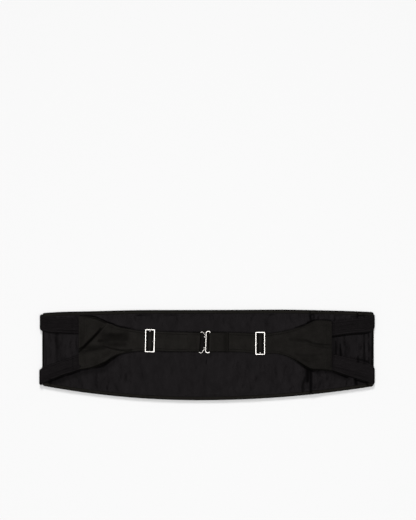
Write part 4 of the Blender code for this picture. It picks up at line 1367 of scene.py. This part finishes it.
makeSlides(slide)
makeEye(clasp)
makeHook(clasp)
print("metal ready")


# sewing: short stitches laid on the cloth

stitch = {
    "length": 2.3, "gap": 0.9, "radius": 0.16, "sink": 0.10, "arch": 0.10,
    # distance of the rows from the long edges and from the end seam
    "inset": 1.6, "endRows": (2.0, 6.6),
    # where the rows along and across a wing start and end: x, y
    "along": {"wing_left": (-155.0, -84.0), "wing_right": (78.0, 150.0)},
    "across": {"wing_left": (-16.0, 48.5), "wing_right": (-17.5, 42.5)},
    # the place that tells a station's x and level, for rows along and across, and the levels
    # between which a strip is stitched
    "placeAlong": 12, "placeAcross": 20, "lowest": 4.3, "highest": 6.4,
}


def stitchMesh(name, starts, ends, ups, s):
    # each stitch is a thread from start to end that arches a little:
    # start + t (end - start) + up (arch 4t(1-t) - sink (1 - 4t(1-t)))
    t = np.array([0.0, 0.12, 0.5, 0.88, 1.0])
    girth = np.array([0.55, 0.9, 1.0, 0.9, 0.55]) * s["radius"]
    sides = 6
    angle = np.radians(np.arange(sides) * 360.0 / sides)[:, None]
    line = ends - starts
    hump = 4 * t * (1 - t)
    middle = starts[:, None] + line[:, None] * t[None, :, None]
    middle = middle + ups[:, None] * (hump * s["arch"] - s["sink"] * (1 - hump))[None, :, None]
    ahead = line / np.linalg.norm(line, axis=1)[:, None]
    side = np.cross(ahead, ups)
    side /= np.linalg.norm(side, axis=1)[:, None]
    top = np.cross(side, ahead)
    circle = side[:, None, None] * np.cos(angle) + top[:, None, None] * np.sin(angle)
    points = middle[:, :, None] + circle * girth[None, :, None, None]
    firsts = np.arange(len(starts)) * len(t) * sides
    quads = (shellQuads(len(t), sides)[None] + firsts[:, None, None]).reshape(-1, 4)
    return newPiece(name, points.reshape(-1, 3), quads, None, sewingThread)


def alongLine(line, ups, s):
    # cuts a line of points into stitches and gaps, and reads the start, end and up of each
    along = lengthsAlong(line)
    starts = np.arange(s["gap"], along[-1] - s["length"], s["length"] + s["gap"])
    up = readAt(starts + s["length"] / 2, along, ups)
    up = up / np.linalg.norm(up, axis=1)[:, None]
    return readAt(starts, along, line), readAt(starts + s["length"], along, line), up


def surfaceNormals(upper):
    n = np.cross(np.gradient(upper, axis=0), np.gradient(upper, axis=1))
    n /= np.maximum(np.linalg.norm(n, axis=2), 1e-9)[:, :, None]
    return n * np.sign(n[..., 2:] + 1e-9)


def rowBeside(name, inset, fromTop, first, last):
    # the line of points that keeps its distance from one long edge of a strip, between two x, as
    # far as the strip lies low
    upper = surfaces[name][0]
    normals = surfaceNormals(upper)
    x, _, z = upper[:, stitch["placeAlong"]].T
    stations = np.nonzero((x > first) & (x < last) & (z < stitch["highest"]))[0]
    stations = stations[np.append(True, np.diff(stations) == 1).cumprod().astype(bool)]
    y = upper[stations, -1, 1] - inset if fromTop else upper[stations, 0, 1] + inset
    line, ups = [], []
    for station, at in zip(stations, y):
        column = upper[station, :, 1]
        line.append(readAt([at], column, upper[station]))
        ups.append(readAt([at], column, normals[station]))
    return np.concatenate(line), np.concatenate(ups)


def rowAcross(name, x, fromY, toY):
    # a line of points across a strip at one x, never on an end turned under
    upper = surfaces[name][0]
    nearX, _, nearZ = upper[:, stitch["placeAcross"]].T
    station = int(np.argmin(np.abs(nearX - x) + 50.0 * (nearZ < stitch["lowest"])))
    y = np.linspace(fromY, toY, 60)
    column = upper[station, :, 1]
    return readAt(y, column, upper[station]), readAt(y, column, surfaceNormals(upper)[station])


def makeStitches(s):
    rows = []
    for fromTop in (True, False):
        rows += [rowBeside(name, s["inset"], fromTop, *ends) for name, ends in s["along"].items()]
    for fromSeam in s["endRows"]:
        rows.append(rowAcross("wing_left", seamLeft + fromSeam, *s["across"]["wing_left"]))
        rows.append(rowAcross("wing_right", seamRight - fromSeam, *s["across"]["wing_right"]))
    joined = [np.concatenate(parts) for parts in zip(*(alongLine(*row, s) for row in rows))]
    wingRows = stitchMesh("wingStitches", *joined, s)

    # slip stitches round the lining, slanting over its edge onto the border
    endGap, inside, beyond, slant = 5.0, 1.1, 0.8, 0.9
    x = np.arange(lining["left"] + endGap, lining["right"] - endGap, lining["stitchStep"])
    starts, ends = [], []
    for edge, inward in ((liningHigh, -1.0), (liningLow, 1.0)):
        y = edge(x) + inward * inside
        starts.append(np.column_stack([x, y, liningTop(x, y) + 0.05]))
        ends.append(np.column_stack([x + slant, edge(x) - inward * beyond,
                                     np.full_like(x, panel["borderTop"] + 0.02)]))
    starts, ends = np.concatenate(starts), np.concatenate(ends)
    ups = np.broadcast_to([0.0, 0.0, 1.0], starts.shape)
    slip = stitchMesh("slipStitches", starts, ends, ups, {**s, "arch": 0.12, "sink": 0.12})


makeStitches(stitch)
print("sewing ready")
